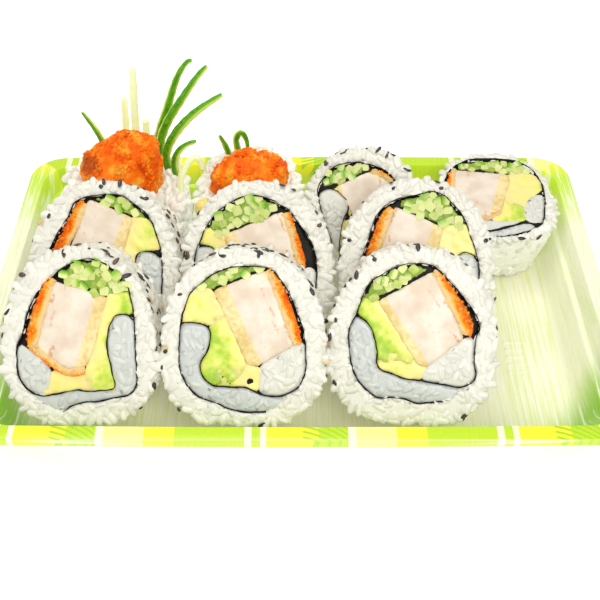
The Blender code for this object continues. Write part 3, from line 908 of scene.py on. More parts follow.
def closed_block(cut, loop, inset, gap, soften, lumps, seed, lump_size=2.5, sunk=None):
    """A block from face to face of a slice, with rounded edges and lumpy ends.

    It stops an inset short of both faces, and is sunk more inside a second loop.
    """
    loop = np.asarray(loop, float)
    seed, near, far = seed + cut.seed, inset, cut.depth - inset
    rng = np.random.default_rng(seed)
    low, high = loop.min(0), loop.max(0)
    grid = np.stack(np.meshgrid(np.arange(low[0], high[0], gap),
                                np.arange(low[1], high[1], gap)), -1).reshape(-1, 2)
    grid = grid + rng.uniform(-0.25, 0.25, grid.shape) * gap
    grid = grid[inside(grid, loop)]
    if len(grid):
        grid = grid[distance(grid, loop) > 0.5 * gap]
    every = np.vstack([loop, grid])
    flat, _, triangles, *_ = delaunay_2d_cdt(
        [Vector(point) for point in every], [], [list(range(len(loop)))], 1, 1e-6)
    flat = np.array([point[:] for point in flat])
    away = distance(flat, loop)
    drop = soften * (1.0 - np.sqrt(np.clip(1.0 - (1.0 - np.clip(away / soften, 0, 1)) ** 2, 0, 1)))
    edges = {}
    for face in triangles:
        for start, end in zip(face, face[1:] + face[:1]):
            edges[(start, end)] = edges.get((end, start)) is None
            if not edges[(start, end)]:
                edges[(end, start)] = False
    rim = [pair for pair, single in edges.items() if single]
    front = near + drop + lumps * wavy(flat, lump_size, seed)
    back = far - drop - lumps * wavy(flat, lump_size, seed + 31)
    if sunk is not None:
        low_part = TURN_SINK * inside(flat, sunk)
        front, back = front + low_part, back - low_part
    count = len(flat)
    layers = [at_depth(flat, depth) for depth in (front, (near + far) / 2.0, back)]
    faces = [tuple(face) for face in triangles]
    faces += [tuple(index + 2 * count for index in reversed(face)) for face in triangles]
    for start, end in rim:
        for level in (0, count):
            faces.append((end + level, start + level, start + level + count, end + level + count))
    points = np.concatenate(layers)
    used = np.zeros(len(points), bool)
    used[:count] = True
    used[2 * count:] = True
    for start, end in rim:
        used[[start + count, end + count]] = True
    keep = np.cumsum(used) - 1
    return points[used], [tuple(int(keep[index]) for index in face) for face in faces]


for name, cut in slices.items():
    rng = np.random.default_rng(100 + cut.seed)
    turn = softened(NORI_TURN[name])
    painted_light_lift = SIDE_PAINTED_LIGHT_FEW_SEEDS.get(name, 0.0)
    points, faces = closed_block(
        cut, spaced(cut.outline(CORE_INSET), 1.6), inset=CORE_SINK, gap=1.3, soften=1.4,
        lumps=0.07, seed=200, sunk=grown(turn, 0.5))
    core = make_piece(name + "_rice", cut.settle(points), faces, rice_look, "rice",
                      shade=np.full(len(points), 0.6 + painted_light_lift), cool=np.zeros(len(points)))
    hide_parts(name)
    rim = cut.outline(1.0)
    face_spots = scatter(rim, [turn], GRAIN_GAP_FACE, rng)
    back_spots = scatter(rim, [turn], GRAIN_GAP_FACE, rng)
    points, faces, tones, cools = joined([
        cut_grains(cut, face_spots, rng, 0.0, True, turn, False),
        cut_grains(cut, back_spots, rng, 0.0, False, turn, False),
        side_grains(cut, rng, SIDE_PRESS.get(name, 0.0), painted_light_lift)])
    make_piece(name + "_grains", cut.settle(points), faces, rice_look, "rice",
               shade=tones, cool=cools)

# ------------------------------------------------------------------ rice inside the nori
# The inner end of the sheet holds its own layer of rice, so a tongue and a band
# of rice lie inside the turn. That rice is painted grey: painted shade from the turn
# of seaweed round it, and the dark sheet showing through the thin rice.
# for each patch, how grey it is painted for the shade inside the turn, then its outline
INNER_RICE = {
    "slice_front_left": [
        (0.75, [(10.6, -16.6), (12.0, -19.2), (15.2, -18.9), (17.2, -16.3), (17.5, -3.2),
            (17.7, 4.4), (16.4, 5.8), (13.9, 6.5), (12.0, 5.4), (10.3, 2.1), (9.3, -3.1),
            (10.4, -10.6)]),
        (0.95, [(-16.2, -17.2), (-8.3, -18.2), (-1.1, -17.2), (11.6, -17.8), (15.0, -18.6),
            (3.9, -20.4), (-2.9, -20.7), (-7.0, -23.4), (-12.5, -21.0)]),
        (0.6, [(-18.8, -1.4), (-15.4, -3.8), (-11.4, -7.4), (-9.2, -11.8), (-11.4, -17.6),
            (-16.3, -16.2), (-19.1, -12.0), (-19.4, -7.6)])],
    "slice_front_mid": [
        (0.12, [(5.6, -8.8), (15.4, -2.2), (18.6, -0.6), (19.3, -6), (19.2, -10.4), (17.6, -14.5),
            (14.2, -16.9), (9.5, -17.9), (5.2, -16.8), (5.9, -12.0)]),
        (0.9, [(-19.8, 3.8), (-15.0, 4.1), (-11.5, 2.7), (-11.0, -0.5), (-11.9, -4.4),
            (-14.4, -8.6), (-13.8, -12.4), (-10.9, -16.0), (-5, -16.4), (1.2, -16.2), (4.9, -18.2),
            (9.5, -19.2), (13.0, -18.4), (12.0, -21.5), (7.7, -22.8), (0.5, -23.1), (-5, -22.1),
            (-8.6, -20.3), (-13.6, -18.9), (-17.0, -15.4), (-19.3, -11.1), (-19.8, -6.8)])],
    "slice_front_right": [
        (0.15, [(5.0, -9.6), (15.6, 0.0), (18.9, 1.0), (18.9, -6.8), (20.2, -10.4), (19.4, -12.6),
            (16.2, -14.4), (11, -13.9), (3.4, -13.0)]),
        (0.85, [(-18.2, 4.8), (-15.6, 3.8), (-13.6, 1.5), (-12.3, -2.5), (-11.4, -5.9),
            (-11.4, -11.4), (-5.5, -12.8), (-1.7, -14.2), (2.8, -14.2), (11, -15.1), (16.2, -15.8),
            (14.5, -19.2), (11, -19.3), (7.3, -19.8), (2.8, -20.7), (-0.8, -19.3), (-5.3, -19.1),
            (-9, -19.8), (-11.4, -18.9), (-15.7, -15.4), (-18.3, -10.2), (-19.2, -5),
            (-19.9, -0.5), (-19.2, 3.0)])],
    "slice_mid_left": [
        (0.8, [(11.2, -16.4), (12.6, -18.4), (15.8, -17.8), (18.0, -13.8), (19.0, -6), (18.9, 1.6),
            (16.5, 4.3), (13.7, 4.7), (11.8, 3.9), (11.0, 2.2), (11.0, -3.1), (11.8, -10.4)]),
        (0.9, [(-16.2, -17.2), (-8.3, -18.0), (-1.1, -17.0), (11.6, -17.6), (15.0, -18.2),
            (3.9, -20.1), (-2.9, -20.3), (-7.0, -22.4), (-12.5, -20.5)])],
    "slice_mid_centre": [
        (0.3, [(3.6, -10.8), (13.0, -2.0), (17.0, 0.6), (19.4, -1.0), (19.4, -10.4), (17.6, -14.5),
            (14.2, -16.9), (9.5, -17.9), (3.4, -15.4)]),
        (0.7, [(-20.9, 4.6), (-17.0, 5.5), (-14.0, 4.0), (-13.0, 0.4), (-13.4, -5.6),
            (-13.8, -11.4), (-9.4, -16.0), (1.4, -16.4), (9.5, -19.2), (13.0, -18.6), (8, -22.0),
            (0.5, -22.4), (-8.6, -19.8), (-14.2, -17.2), (-18.0, -12.8), (-20.3, -6)])],
    "slice_mid_right": [
        (0.7, [(11.4, -15.6), (16.2, -16.8), (19.2, -11.8), (20.6, -5), (20.4, -1.3), (19.6, 1.8),
            (17.4, 3.7), (15.0, 3.2), (13.2, 1.6), (12.0, -2.3), (12.2, -9.4)])],
    "slice_back": [
        (0.25, [(-12.6, -12.5), (-10.6, -6.6), (-8.3, -0.4), (-6.9, 1.9), (-6.2, 4.4), (-7.4, 7.0),
            (-9.0, 9.5), (-12.0, 10.8), (-15.0, 9.8), (-15.2, 5.0), (-14.9, -1.0),
            (-13.8, -8.3)])],
    "slice_flat": [
        (0.3, [(9.6, -7.0), (12.6, -1.6), (15.6, 0.4), (17.9, 0.2), (17.5, -5.5), (16.4, -11.0),
            (15.0, -14.6), (9.8, -13.6)]),
        (0.35, [(-14.0, -12.6), (-8.6, -13.6), (3.6, -14.2), (8.6, -13.8), (5, -15.7),
            (0.7, -17.1), (-5.6, -18.9), (-9.6, -19.8), (-14.0, -16.6)]),
        (0.6, [(-9.6, -21.0), (-5.4, -20.2), (-1.6, -19.3), (5, -17.0), (9.2, -15.2),
            (13.0, -16.6), (9.8, -19.0), (4.2, -21.0), (-2.5, -22.2)]),
        (0.4, [(-19.2, 1.4), (-18.3, 0.6), (-16.0, -5.6), (-11.8, -12.4), (-13.6, -13.6),
            (-15.0, -16.2), (-18.0, -11.0), (-19.3, -4.0)])],
}
INNER_SINK = 0.27
INNER_GAP = 1.9
# how far the middle of a grain stays from the edge of its patch
INNER_CLEAR = 0.9
for name, cut in slices.items():
    rng = np.random.default_rng(300 + cut.seed)
    parts = []
    for cool_tone, loop in INNER_RICE[name]:
        loop = softened(loop, rounds=1)
        points, faces = closed_block(cut, grown(spaced(loop, 0.9), 0.65), inset=INNER_SINK,
                                     gap=1.0, soften=0.6, lumps=0.10, seed=310)
        tones = 0.35 + 0.5 * wavy(points[:, [0, 2]], 2.0, 315 + cut.seed)
        parts.append((points, faces, tones, np.full(len(points), cool_tone)))
        for near_face in (True, False):
            spots = scatter(loop, [], INNER_GAP, rng)
            spots = spots[distance(spots, loop) > INNER_CLEAR]
            if len(spots):
                parts.append(cut_grains(cut, spots, rng, cool_tone, near_face, loop, True))
    points, faces, tones, cools = joined(parts)
    make_piece(name + "_inner_rice", cut.settle(points), faces, rice_look, "rice",
               shade=tones, cool=cools)

# ------------------------------------------------------------------ gap shade
# Behind the fillings the gaps show dark, partly the wrapped sheet and partly shade,
# so a sunk core of dark seaweed, a painted shade, fills the turn of nori between its two cut faces.
GAP_SHADE_SINK = 0.8
for name, cut in slices.items():
    points, faces = closed_block(cut, spaced(softened(NORI_TURN[name]), 1.0),
                                 inset=GAP_SHADE_SINK, gap=1.4, soften=0.3, lumps=0.15, seed=350)
    make_piece(name + "_lining", cut.settle(points), faces, nori_look, "nori")

# ------------------------------------------------------------------ chicken
# A bar of chicken breast, steamed white inside a soft tan batter on the side
# away from its crust. The knife leaves the meat smooth with short fibres.
# corners in order: crust side top, batter side top, then back along the foot
CHICKEN = {
    "slice_front_left": [
        (-6.3, 18.4), (10.3, 12.3), (4.3, -5.8), (1.5, -9.8), (-4.6, -10.0), (-13.6, -2.8)],
    "slice_front_mid": [(6.4, 22.0), (-10.2, 14.8), (1.2, -8.6), (4.6, -8.9), (16.2, -1.8)],
    "slice_front_right": [(5.0, 21.4), (-12.0, 10.6), (1.6, -8.5), (4.8, -9.7), (16.2, 0.8)],
    "slice_mid_left": [(-5.0, 22.9), (10.2, 16.1), (5.0, -1.0), (2.4, -5.0), (-13.2, 1.8)],
    "slice_mid_centre": [(7.6, 19.2), (-12.4, 9.9), (-3.0, -10.6), (1.2, -11.0), (14.0, 0.2)],
    "slice_mid_right": [(-7.2, 20.0), (9.6, 12.6), (5.0, -4.6), (2.0, -7.6), (-13.8, -0.2)],
    "slice_back": [
        (10.6, 9.9), (4.6, 14.2), (-9.4, 11.3), (-6.4, 3.5), (-3.6, -4.0), (10.5, -3.0)],
    "slice_flat": [
        (-14.6, 14.8), (7.6, 11.8), (1.0, -9.6), (-3.6, -12.2), (-8.6, -11.6), (-15.8, 3.0)],
}
# direction from the crust side to the batter side, and how wide the batter is
BATTER_SIDE = {
    "slice_front_left": ((0.94, -0.33), 5.0), "slice_front_mid": ((-0.90, -0.44), 5.6),
    "slice_front_right": ((-0.80, -0.60), 4.2), "slice_mid_left": ((0.94, -0.33), 5.2),
    "slice_mid_centre": ((-0.91, -0.42), 5.4), "slice_mid_right": ((0.95, -0.30), 6.0),
    "slice_back": ((-0.98, 0.2), 3.4), "slice_flat": ((0.96, -0.28), 5.2),
}
# width of the crust, then the line down its middle
CRUST_LINE = {
    "slice_front_left": (2.7, [
        (-6.9, 19.5), (-9.8, 15.6), (-12.6, 9.4), (-14.6, 4.0), (-15.4, -1.6), (-12.4, -4.8),
        (-8.6, -8.4), (-4.6, -11.3), (1.2, -11.4)]),
    "slice_front_mid": (2.8, [(6.8, 22.0), (10.6, 17.4), (13.8, 10.6), (16.4, 3.4), (17.4, -1.2)]),
    "slice_front_right": (2.9, [
        (5.4, 21.6), (10.2, 16.2), (14.8, 10.4), (17.7, 5.6), (17.4, 1.8)]),
    "slice_mid_left": (2.7, [
        (-7.4, 22.0), (-9.4, 18.6), (-12.0, 13.4), (-15.0, 8.0), (-17.2, 4.0), (-16.0, 0.0)]),
    "slice_mid_centre": (3.5, [(8.6, 18.8), (10.2, 14.6), (12.4, 9.6), (14.4, 4.0), (15.4, 0.6)]),
    "slice_mid_right": (2.7, [
        (-8.4, 19.8), (-11.8, 15.8), (-13.4, 10.4), (-15.4, 5.6), (-16.2, 1.0)]),
    "slice_back": (1.9, [(5.4, 14.4), (8.8, 12.4), (11.4, 10.0), (12.2, 7.0)]),
    "slice_flat": (2.3, [
        (-14.2, 15.2), (-16.2, 11.6), (-17.4, 7.6), (-17.2, 3.0), (-14.0, -4.4), (-10.6, -11.0)]),
}
CRUST_FOOT = {
    "slice_flat": (2.4, [(-8.6, -13.0), (-5.0, -12.4), (-1.6, -10.8), (0.8, -9.4)]),
}
# the meat also glows with its own colour: a painted glow that lifts it where it lies flat or stands
# in the front slices' shade
chicken_look, chicken_shader, place = new_look(
    "chicken_breast", Coat_Weight=0.12, Coat_Roughness=0.35, Emission_Strength=0.15,
    Subsurface_Weight=0.2, Subsurface_Scale=0.002, Subsurface_Radius=(1.0, 0.7, 0.5))
batter, rosy = carried(place, "batter"), carried(place, "rosy")
fine, broad = mottle(place, 700.0, 3.0), mottle(place, 150.0)
meat = broad.above(0.5, 0.2).paint((0.61, 0.495, 0.375), (0.71, 0.625, 0.52))
meat = (fine.above(0.66, 0.05) * 0.5).paint(meat, (0.66, 0.46, 0.35))
meat = (rosy.above(0.5, 0.35) * fine.above(0.46, 0.12) * 0.8).paint(meat, (0.54, 0.22, 0.08))
crumbly = (broad * 0.6 + fine * 0.5).above(0.54, 0.16).paint((0.60, 0.43, 0.15), (0.76, 0.62, 0.31))
body = (batter + (broad - 0.5) * 0.5 + (fine - 0.5) * 0.3).above(0.5, 0.35).paint(meat, crumbly)
feed(chicken_shader, Base_Color=body, Emission_Color=body, Roughness=fine * 0.2 + 0.36,
     Normal=relief(0.4, 0.2, fine * 0.6 + broad * 0.6))
for name, cut in slices.items():
    loop = spaced(softened(CHICKEN[name], reach=0.8), 0.6)
    loop = shaken(loop, 0.22, 1.5, 430 + cut.seed, 440 + cut.seed)
    points, faces = closed_block(cut, loop, inset=0.05, gap=0.75, soften=0.5, lumps=0.14,
                                 seed=400)
    way, width = BATTER_SIDE[name]
    reach = points[:, [0, 2]] @ np.array(way)
    corner = (np.asarray(CHICKEN[name]) @ np.array(way)).max()
    batter_tone = np.clip((reach - (corner - width)) / (0.35 * width), 0.0, 1.0)
    _, crust = CRUST_LINE[name]
    beside = distance(points[:, [0, 2]], crust, closed=False)
    batter_tone = np.maximum(batter_tone, np.clip(1.25 - 0.42 * beside, 0.0, 1.0))
    # fibres run along the bar's long side, rusty where the crust's oil soaked in
    along = points[:, [0, 2]] @ np.array((-way[1], way[0]))
    fibres = np.array([noise.noise(Vector((u * 0.85, v * 0.16, cut.seed * 3.7)))
                       for u, v in zip(reach, along)])
    rosy_tone = np.clip(4.0 * (fibres - 0.20), 0.0, 1.0)
    rosy_tone *= np.clip(1.0 - (beside - 4.5) / 3.5, 0.0, 1.0)
    make_piece(name + "_chicken", cut.settle(points), faces, chicken_look, "chicken",
               batter=batter_tone, rosy=rosy_tone)

# ------------------------------------------------------------------ crust
# Fried breadcrumbs on one or two sides of the bar: a rough layer of orange
# crumbs, cut through with it, darker where it met the hot oil.
CRUST_LAP = 0.7
# the crumb glows a little with its own colour, a painted glow
crumb_look, crumb_shader, place = new_look(
    "fried_crumb", Specular_IOR_Level=0.10, Emission_Strength=0.06)
fine, broad = mottle(place, 950.0, 4.0), mottle(place, 190.0)
# the light orange stops carry painted highlights of the oil besides the crumb's own orange; the tan
# end is the batter beside the meat
orange = place.node("ShaderNodeValToRGB", {"stops": [
    (0.30, (0.56, 0.055, 0.002)), (0.46, (0.83, 0.115, 0.003)), (0.60, (0.92, 0.19, 0.005)),
    (0.76, (0.88, 0.36, 0.03)), (0.90, (0.76, 0.42, 0.10)), (1.0, (0.72, 0.50, 0.23))]},
    {0: carried(place, "shade") * 0.35 + fine * 0.3 + broad * 0.9 - 0.1})
fried = carried(place, "dark").paint(orange, (0.36, 0.05, 0.006))
feed(crumb_shader, Base_Color=fried, Emission_Color=fried, Roughness=fine * 0.4 + 0.25,
     Normal=relief(0.8, 0.3, fine))

# one crumb: a small angular flake
bpy.ops.mesh.primitive_ico_sphere_add(subdivisions=1, radius=0.5, location=(0.0, 0.0, 0.0))
CRUMB_POINTS, CRUMB_FACES = taken()
ragged = np.array([noise.noise(Vector(point) * 3.1) for point in CRUMB_POINTS])
CRUMB_POINTS *= 1.0 + 0.9 * ragged[:, None]


def crust_loop(line, width, meat):
    """The outline of a crust along a line, reaching in to the meat beside it."""
    line = spaced(softened(line, closed=False), 0.8, closed=False)
    aside = square_to(line)
    if ((line.mean(0) - np.mean(meat, 0)) * aside[len(line) // 2]).sum() > 0.0:
        aside = -aside
    ends = np.minimum(np.arange(len(line)), np.arange(len(line))[::-1])
    half = 0.36 * width * np.clip(0.55 + ends * 0.3, 0.0, 1.0)
    inward = np.clip(distance(line, meat) + CRUST_LAP, half, half + 2.4)
    return np.vstack([line - aside * half[:, None], (line + aside * inward[:, None])[::-1]])


for name, cut in slices.items():
    rng = np.random.default_rng(500 + cut.seed)
    parts = []
    for width, line in [CRUST_LINE[name]] + ([CRUST_FOOT[name]] if name in CRUST_FOOT else []):
        loop = crust_loop(line, width, CHICKEN[name])
        loop = shaken(loop, 0.38, 0.9, 510 + cut.seed, 530 + cut.seed)
        points, faces = closed_block(cut, loop, inset=-0.02, gap=0.55, soften=0.5, lumps=0.42,
                                     seed=520, lump_size=1.0)
        flat = points[:, [0, 2]]
        from_meat = distance(flat, CHICKEN[name])
        tones = np.clip(0.3 + 0.5 * wavy(flat, 1.4, 540), 0.0, 1.0)
        tones += np.clip(1.9 - 0.95 * from_meat, 0.0, 1.9)
        burnt = np.clip((from_meat - 2.0) * 0.45, 0.0, 0.75) * (0.6 + 0.6 * wavy(flat, 1.0, 545))
        parts.append((points, faces, tones, np.clip(burnt, 0.0, 0.8)))
        middle_line = spaced(softened(line, closed=False), 0.45, closed=False)
        for side in (0.25, cut.depth - 0.25):
            count = len(middle_line) * 2
            spots = middle_line[rng.integers(0, len(middle_line), count)]
            spots = spots + rng.normal(0.0, width * 0.26, (count, 2))
            spots = spots[distance(spots, loop) < width]
            spots = spots[inside(spots, loop)]
            count = len(spots)
            places = at_depth(spots, side + rng.uniform(-0.2, 0.2, count))
            sizes = rng.uniform(0.5, 1.5, (count, 3))
            turns = turned(rng.normal(size=(count, 3)), rng.normal(size=(count, 3)))
            from_meat = distance(spots, CHICKEN[name])
            tones = rng.random(count) + np.clip(1.6 - 0.95 * from_meat, 0.0, 1.6)
            burnt = np.clip((from_meat - 2.0) * 0.4, 0.0, 0.7) * rng.random(count)
            parts.append(toned(CRUMB_POINTS, CRUMB_FACES, places, turns, sizes, tones, burnt))
    points, faces, tones, darks = joined(parts)
    make_piece(name + "_crust", cut.settle(points), faces, crumb_look, "crumb",
               shade=tones, dark=darks)

# ------------------------------------------------------------------ cucumber
# Matchsticks of cucumber laid along the roll, mostly pale flesh with a strip of
# dark peel on one side, their cut ends showing in a cluster on each face.
CUCUMBER = {
    "slice_front_left": [
        (-5.4, 19.6), (-1.5, 22.6), (3.9, 24.3), (8.9, 23.4), (13.1, 19.9), (16.3, 15.9),
        (17.1, 12.4), (13.6, 12.6), (10.4, 12.7), (1.5, 16.0)],
    "slice_front_mid": [
        (-15.0, 14.6), (-13.2, 18.2), (-8.6, 21.4), (-3.2, 22.9), (4.8, 23.4), (5.4, 22.0),
        (-3.0, 18.2), (-10.8, 14.6)],
    "slice_front_right": [
        (-16.6, 10.4), (-16.0, 12.6), (-13.9, 16.8), (-9.2, 19.8), (-5.2, 22.0), (0.1, 23.1),
        (4.2, 21.8), (-4.0, 16.4), (-12.2, 11.2)],
    "slice_mid_left": [
        (-4.4, 22.9), (-1.8, 23.3), (1.4, 23.7), (6.4, 23.5), (10, 20.6), (13.4, 18), (15.8, 14.8),
        (10.3, 16.4)],
    "slice_mid_centre": [
        (-17.6, 11.6), (-15.2, 16.1), (-11.7, 19.2), (-7.6, 22.0), (-4.3, 23.3), (0.7, 23.1),
        (4.0, 21.8), (7.2, 19.6), (-6.0, 13.2), (-12.4, 10.2), (-15.4, 9.6)],
    "slice_mid_right": [
        (-7.2, 20.5), (-4.3, 22.6), (0.7, 23.1), (5, 24.5), (8.9, 23.5), (11.7, 20.5),
        (15.3, 16.2), (16.9, 12.8), (10.6, 12.8), (3.5, 15.5)],
    "slice_back": [
        (-14.2, 12.2), (-12.1, 14.9), (-9.3, 17.3), (-5.7, 18.3), (-1.4, 18.1), (2.9, 17.0),
        (6.0, 14.9), (-9.6, 11.6)],
    "slice_flat": [
        (-13.2, 16.4), (-8, 19.9), (0, 20.3), (5.7, 19.9), (10, 18.9), (12.7, 17.2), (16.2, 12.4),
        (13, 12.3), (7.5, 12.2), (-4, 14.6)],
}
STICK_GAP = 2.15
STICK_WIDTH = 2.9
cucumber_look, cucumber_shader, place = new_look(
    "cucumber_flesh", Specular_IOR_Level=0.3, Emission_Strength=1.0, Subsurface_Weight=0.12,
    Subsurface_Scale=0.0015, Subsurface_Radius=(0.8, 0.8, 0.6))
tone, peel = carried(place, "shade"), carried(place, "peel")
fine = mottle(place, 600.0)
flesh = place.node("ShaderNodeValToRGB", {"stops": [
    (0.10, (0.24, 0.36, 0.04)), (0.22, (0.50, 0.58, 0.15)), (0.50, (0.70, 0.73, 0.31)),
    (0.60, (0.62, 0.79, 0.12)), (0.85, (0.79, 0.88, 0.54))]}, {0: tone * 0.4 + fine * 0.2})
under = (peel + (fine - 0.5) * 0.3).above(0.35, 0.25).paint(flesh, (0.22, 0.46, 0.02))
rind = fine.above(0.55, 0.25).paint((0.06, 0.27, 0.004), (0.13, 0.42, 0.01))
# painted glow: thin pale strips glow, standing in for the light they let through and lifting the
# shade on their upright sides
glow = tone.above(1.6, 0.2) * (1.0 - peel)
feed(cucumber_shader, Base_Color=(peel + (fine - 0.5) * 0.25).above(0.8, 0.12).paint(under, rind),
     Emission_Color=glow.paint((0.0, 0.0, 0.0), (0.12, 0.16, 0.06)),
     Roughness=fine * 0.25 + 0.16, Normal=relief(0.3, 0.15, fine))

# one matchstick, a unit long, square and slightly rounded
bpy.ops.mesh.primitive_cube_add(size=1.0, location=(0.0, 0.0, 0.0))
edit_all()
bpy.ops.mesh.subdivide(number_cuts=2)
bpy.ops.object.mode_set(mode="OBJECT")
STICK_POINTS, STICK_FACES = taken()
ends = abs(STICK_POINTS[:, 1]) > 0.49
corner_reach = np.hypot(STICK_POINTS[:, 0], STICK_POINTS[:, 2])
STICK_POINTS[:, [0, 2]] *= np.where(corner_reach > 0.69, 0.90, 1.0)[:, None]
STICK_POINTS[:, [0, 2]] *= np.where(ends & (corner_reach > 0.49), 0.93, 1.0)[:, None]
STICK_PEEL = np.clip(STICK_POINTS[:, 0] + 0.5, 0.0, 1.0) ** 2.0

for name, cut in slices.items():
    rng = np.random.default_rng(600 + cut.seed)
    loop = np.asarray(CUCUMBER[name], float)
    spots = scatter(loop, [], STICK_GAP, rng, crowd=300)
    spots = spots[distance(spots, loop) > 0.35]
    count = len(spots)
    angle = rng.uniform(0.0, math.pi, count)
    lean = rng.normal(0.0, 0.035, (count, 2))
    way = np.stack([np.cos(angle), np.zeros(count), np.sin(angle)], 1)
    depth_way = np.stack([lean[:, 0], np.ones(count), lean[:, 1]], 1)
    third = np.cross(way, depth_way)
    turns = np.stack([way, depth_way, third], 2)
    wide = rng.uniform(0.85, 1.25, (count, 2)) * STICK_WIDTH
    lengths = np.full(count, cut.depth - 0.3)
    sizes = np.stack([wide[:, 0], lengths, wide[:, 1]], 1)
    middle = at_depth(spots, cut.depth / 2.0)
    points, faces = strewn(STICK_POINTS, STICK_FACES, middle, turns, sizes)
    near = rng.uniform(-0.2, 0.5, count)[:, None]
    far = rng.uniform(-0.2, 0.5, count)[:, None]
    slope = rng.normal(0.0, 0.08, (count, 2))
    across = points[..., 0] - middle[:, None, 0]
    up = points[..., 2] - middle[:, None, 2]
    tilt = across * slope[:, 0, None] + up * slope[:, 1, None]
    front = points[..., 1] < cut.depth * 0.3
    rear = points[..., 1] > cut.depth * 0.7
    points[..., 1] = np.where(front, near + tilt, points[..., 1])
    points[..., 1] = np.where(rear, cut.depth - far + tilt, points[..., 1])
    tones = np.repeat(rng.random(count) ** 0.6, len(STICK_POINTS))
    share = (spots[:, 1] - spots[:, 1].min()) / max(np.ptp(spots[:, 1]), 1.0)
    has_peel = (rng.random(count) < 0.10 + 0.5 * share) * rng.uniform(0.7, 1.2, count)
    peels = (has_peel[:, None] * STICK_PEEL[None]).ravel()
    # a darker bed shows between the sticks, a painted shade for the sticks farther in
    bed, bed_faces = closed_block(cut, spaced(softened(loop, rounds=1), 0.9), inset=0.6,
                                  gap=0.9, soften=0.5, lumps=0.3, seed=620, lump_size=1.2)
    points, faces, tones, peels = joined([
        (points.reshape(-1, 3), faces, tones, peels),
        (bed, bed_faces, np.zeros(len(bed)), np.full(len(bed), 0.15))])
    make_piece(name + "_cucumber", cut.settle(points), faces, cucumber_look, "cucumber_green",
               smooth=False, shade=tones, peel=peels)

# ------------------------------------------------------------------ avocado
# Soft wedges of ripe avocado pressed in round the chicken, lime green near the
# skin side and butter yellow near the stone, smeared a little by the knife.
# ripeness from 0 green to 1 yellow, then the outline
AVOCADO = {
    "slice_front_left": [
        (0.45, [(10.6, 12.3), (16.9, 12.9), (17.3, 7.0), (13.8, 7.8), (11.0, 6.5), (9.1, 2.3),
            (8.0, -2.8), (8.9, -8.0), (10.5, -16.6), (2.6, -16.8), (2.2, -11.5), (4.8, -5.8)]),
        (0.95, [(-11.8, -17.5), (-10.4, -12.6), (-7.6, -10.6), (-3.0, -12.2), (2.4, -12.0),
            (3.2, -16.7), (1.6, -16.7), (-1.1, -16.0), (-8.3, -17.0)])],
    "slice_front_mid": [
        (0.80, [(-19.3, 7.2), (-17.2, 13), (-14.6, 15.4), (-11.2, 14.2), (-7.0, 7.0), (-10.4, 4.4),
            (-14.8, 5.4), (-19.2, 4.9)]),
        (0.25, [(-10.8, 14.2), (-5.0, 3.6), (0.8, -8.4), (-2.0, -12.4), (-9.8, -14.9),
            (-12.5, -12.0), (-13.1, -8.8), (-10.7, -4.5), (-9.8, -0.2), (-10.2, 3.6),
            (-8.6, 6.5)]),
        (0.85, [(-7.6, -11.0), (0.6, -8.8), (3.6, -9.2), (5.8, -11), (5, -16.9), (1.4, -15.0),
            (-5, -15.2), (-9.4, -14.8)])],
    "slice_front_right": [
        (0.15, [(-17.2, 7.0), (-16.4, 10.6), (-12.2, 10.4), (-6.5, 2.2), (0.8, -8.2), (-3.5, -6.4),
            (-9.5, -8.0), (-10.2, -5.9), (-11.1, -2.2), (-12.4, 2.1), (-15, 5.2)]),
        (0.80, [(-10.0, -7.2), (-3.5, -5.7), (1.4, -8.4), (4.7, -9.8), (3.2, -12.9), (-1.7, -12.9),
            (-5.3, -11.5), (-10.1, -10.2)])],
    "slice_mid_left": [
        (0.70, [(10.3, 16.0), (15.8, 14.4), (17.5, 10), (18.7, 6.4), (16.6, 6.4), (13.6, 6.1),
            (10.9, 5.2), (9.6, 2.4), (9.8, -4.0), (10.4, -16.2), (2.0, -15.6), (3.4, -4.4),
            (6.0, 3.0)]),
        (0.9, [(-11.8, -17.3), (-10.4, -8.6), (2.4, -6.0), (2.4, -15.8), (-8.3, -16.8)])],
    "slice_mid_centre": [
        (0.72, [(-19.6, 7.4), (-17.8, 11.3), (-12.6, 9.6), (-8.0, 0.5), (-3.2, -10.6),
            (-8.6, -14.6), (-12.5, -11.0), (-12.1, -5.4), (-11.8, 0.6), (-12.9, 4.6),
            (-16.2, 6.8)]),
        (0.6, [(-8.0, -12.0), (-2.8, -10.8), (1.4, -11.2), (3.0, -15.0), (-8.2, -14.8)])],
    "slice_mid_right": [
        (0.92, [(9.6, 12.6), (16.9, 12.6), (18.8, 6.6), (20.0, 3.0), (17.4, 5.1), (14.6, 4.6),
            (12.0, 2.4), (10.8, -2.2), (11.0, -9.4), (10.2, -15.6), (2.2, -15.0), (2.4, -7.8),
            (5.2, -4.4)]),
        (0.5, [(-15.4, -16.4), (-14.6, -3.0), (1.8, -8.4), (1.8, -15.2), (-8.3, -15.9)])],
    "slice_back": [
        (0.35, [(-9.4, 11.0), (-6.2, 3.4), (-3.6, -4.2), (-8.0, -2.2), (-5.8, 1.2), (-4.9, 4.5),
            (-6.2, 7.8)]),
        (0.6, [(-10.5, -7.0), (-8.2, -1.6), (-3.6, -4.2), (10.4, -3.2), (14.0, 4.0), (14.3, -4),
            (13, -10.6), (7.8, -15.3), (0, -17.3), (-7.8, -16.2), (-12.2, -12.8)])],
    "slice_flat": [
        (0.95, [(7.4, 12.0), (13, 12.4), (18.0, 9.6), (17.6, 4.4), (15.2, 2.2), (12.4, -1.8),
            (9.6, -6.4), (3.6, -2.6), (5.6, 5.0)]),
        (0.30, [(9.6, -6.4), (9.4, -12.6), (3.5, -13.8), (-3.6, -12.8), (1.0, -9.6),
            (3.8, -2.4)])],
}
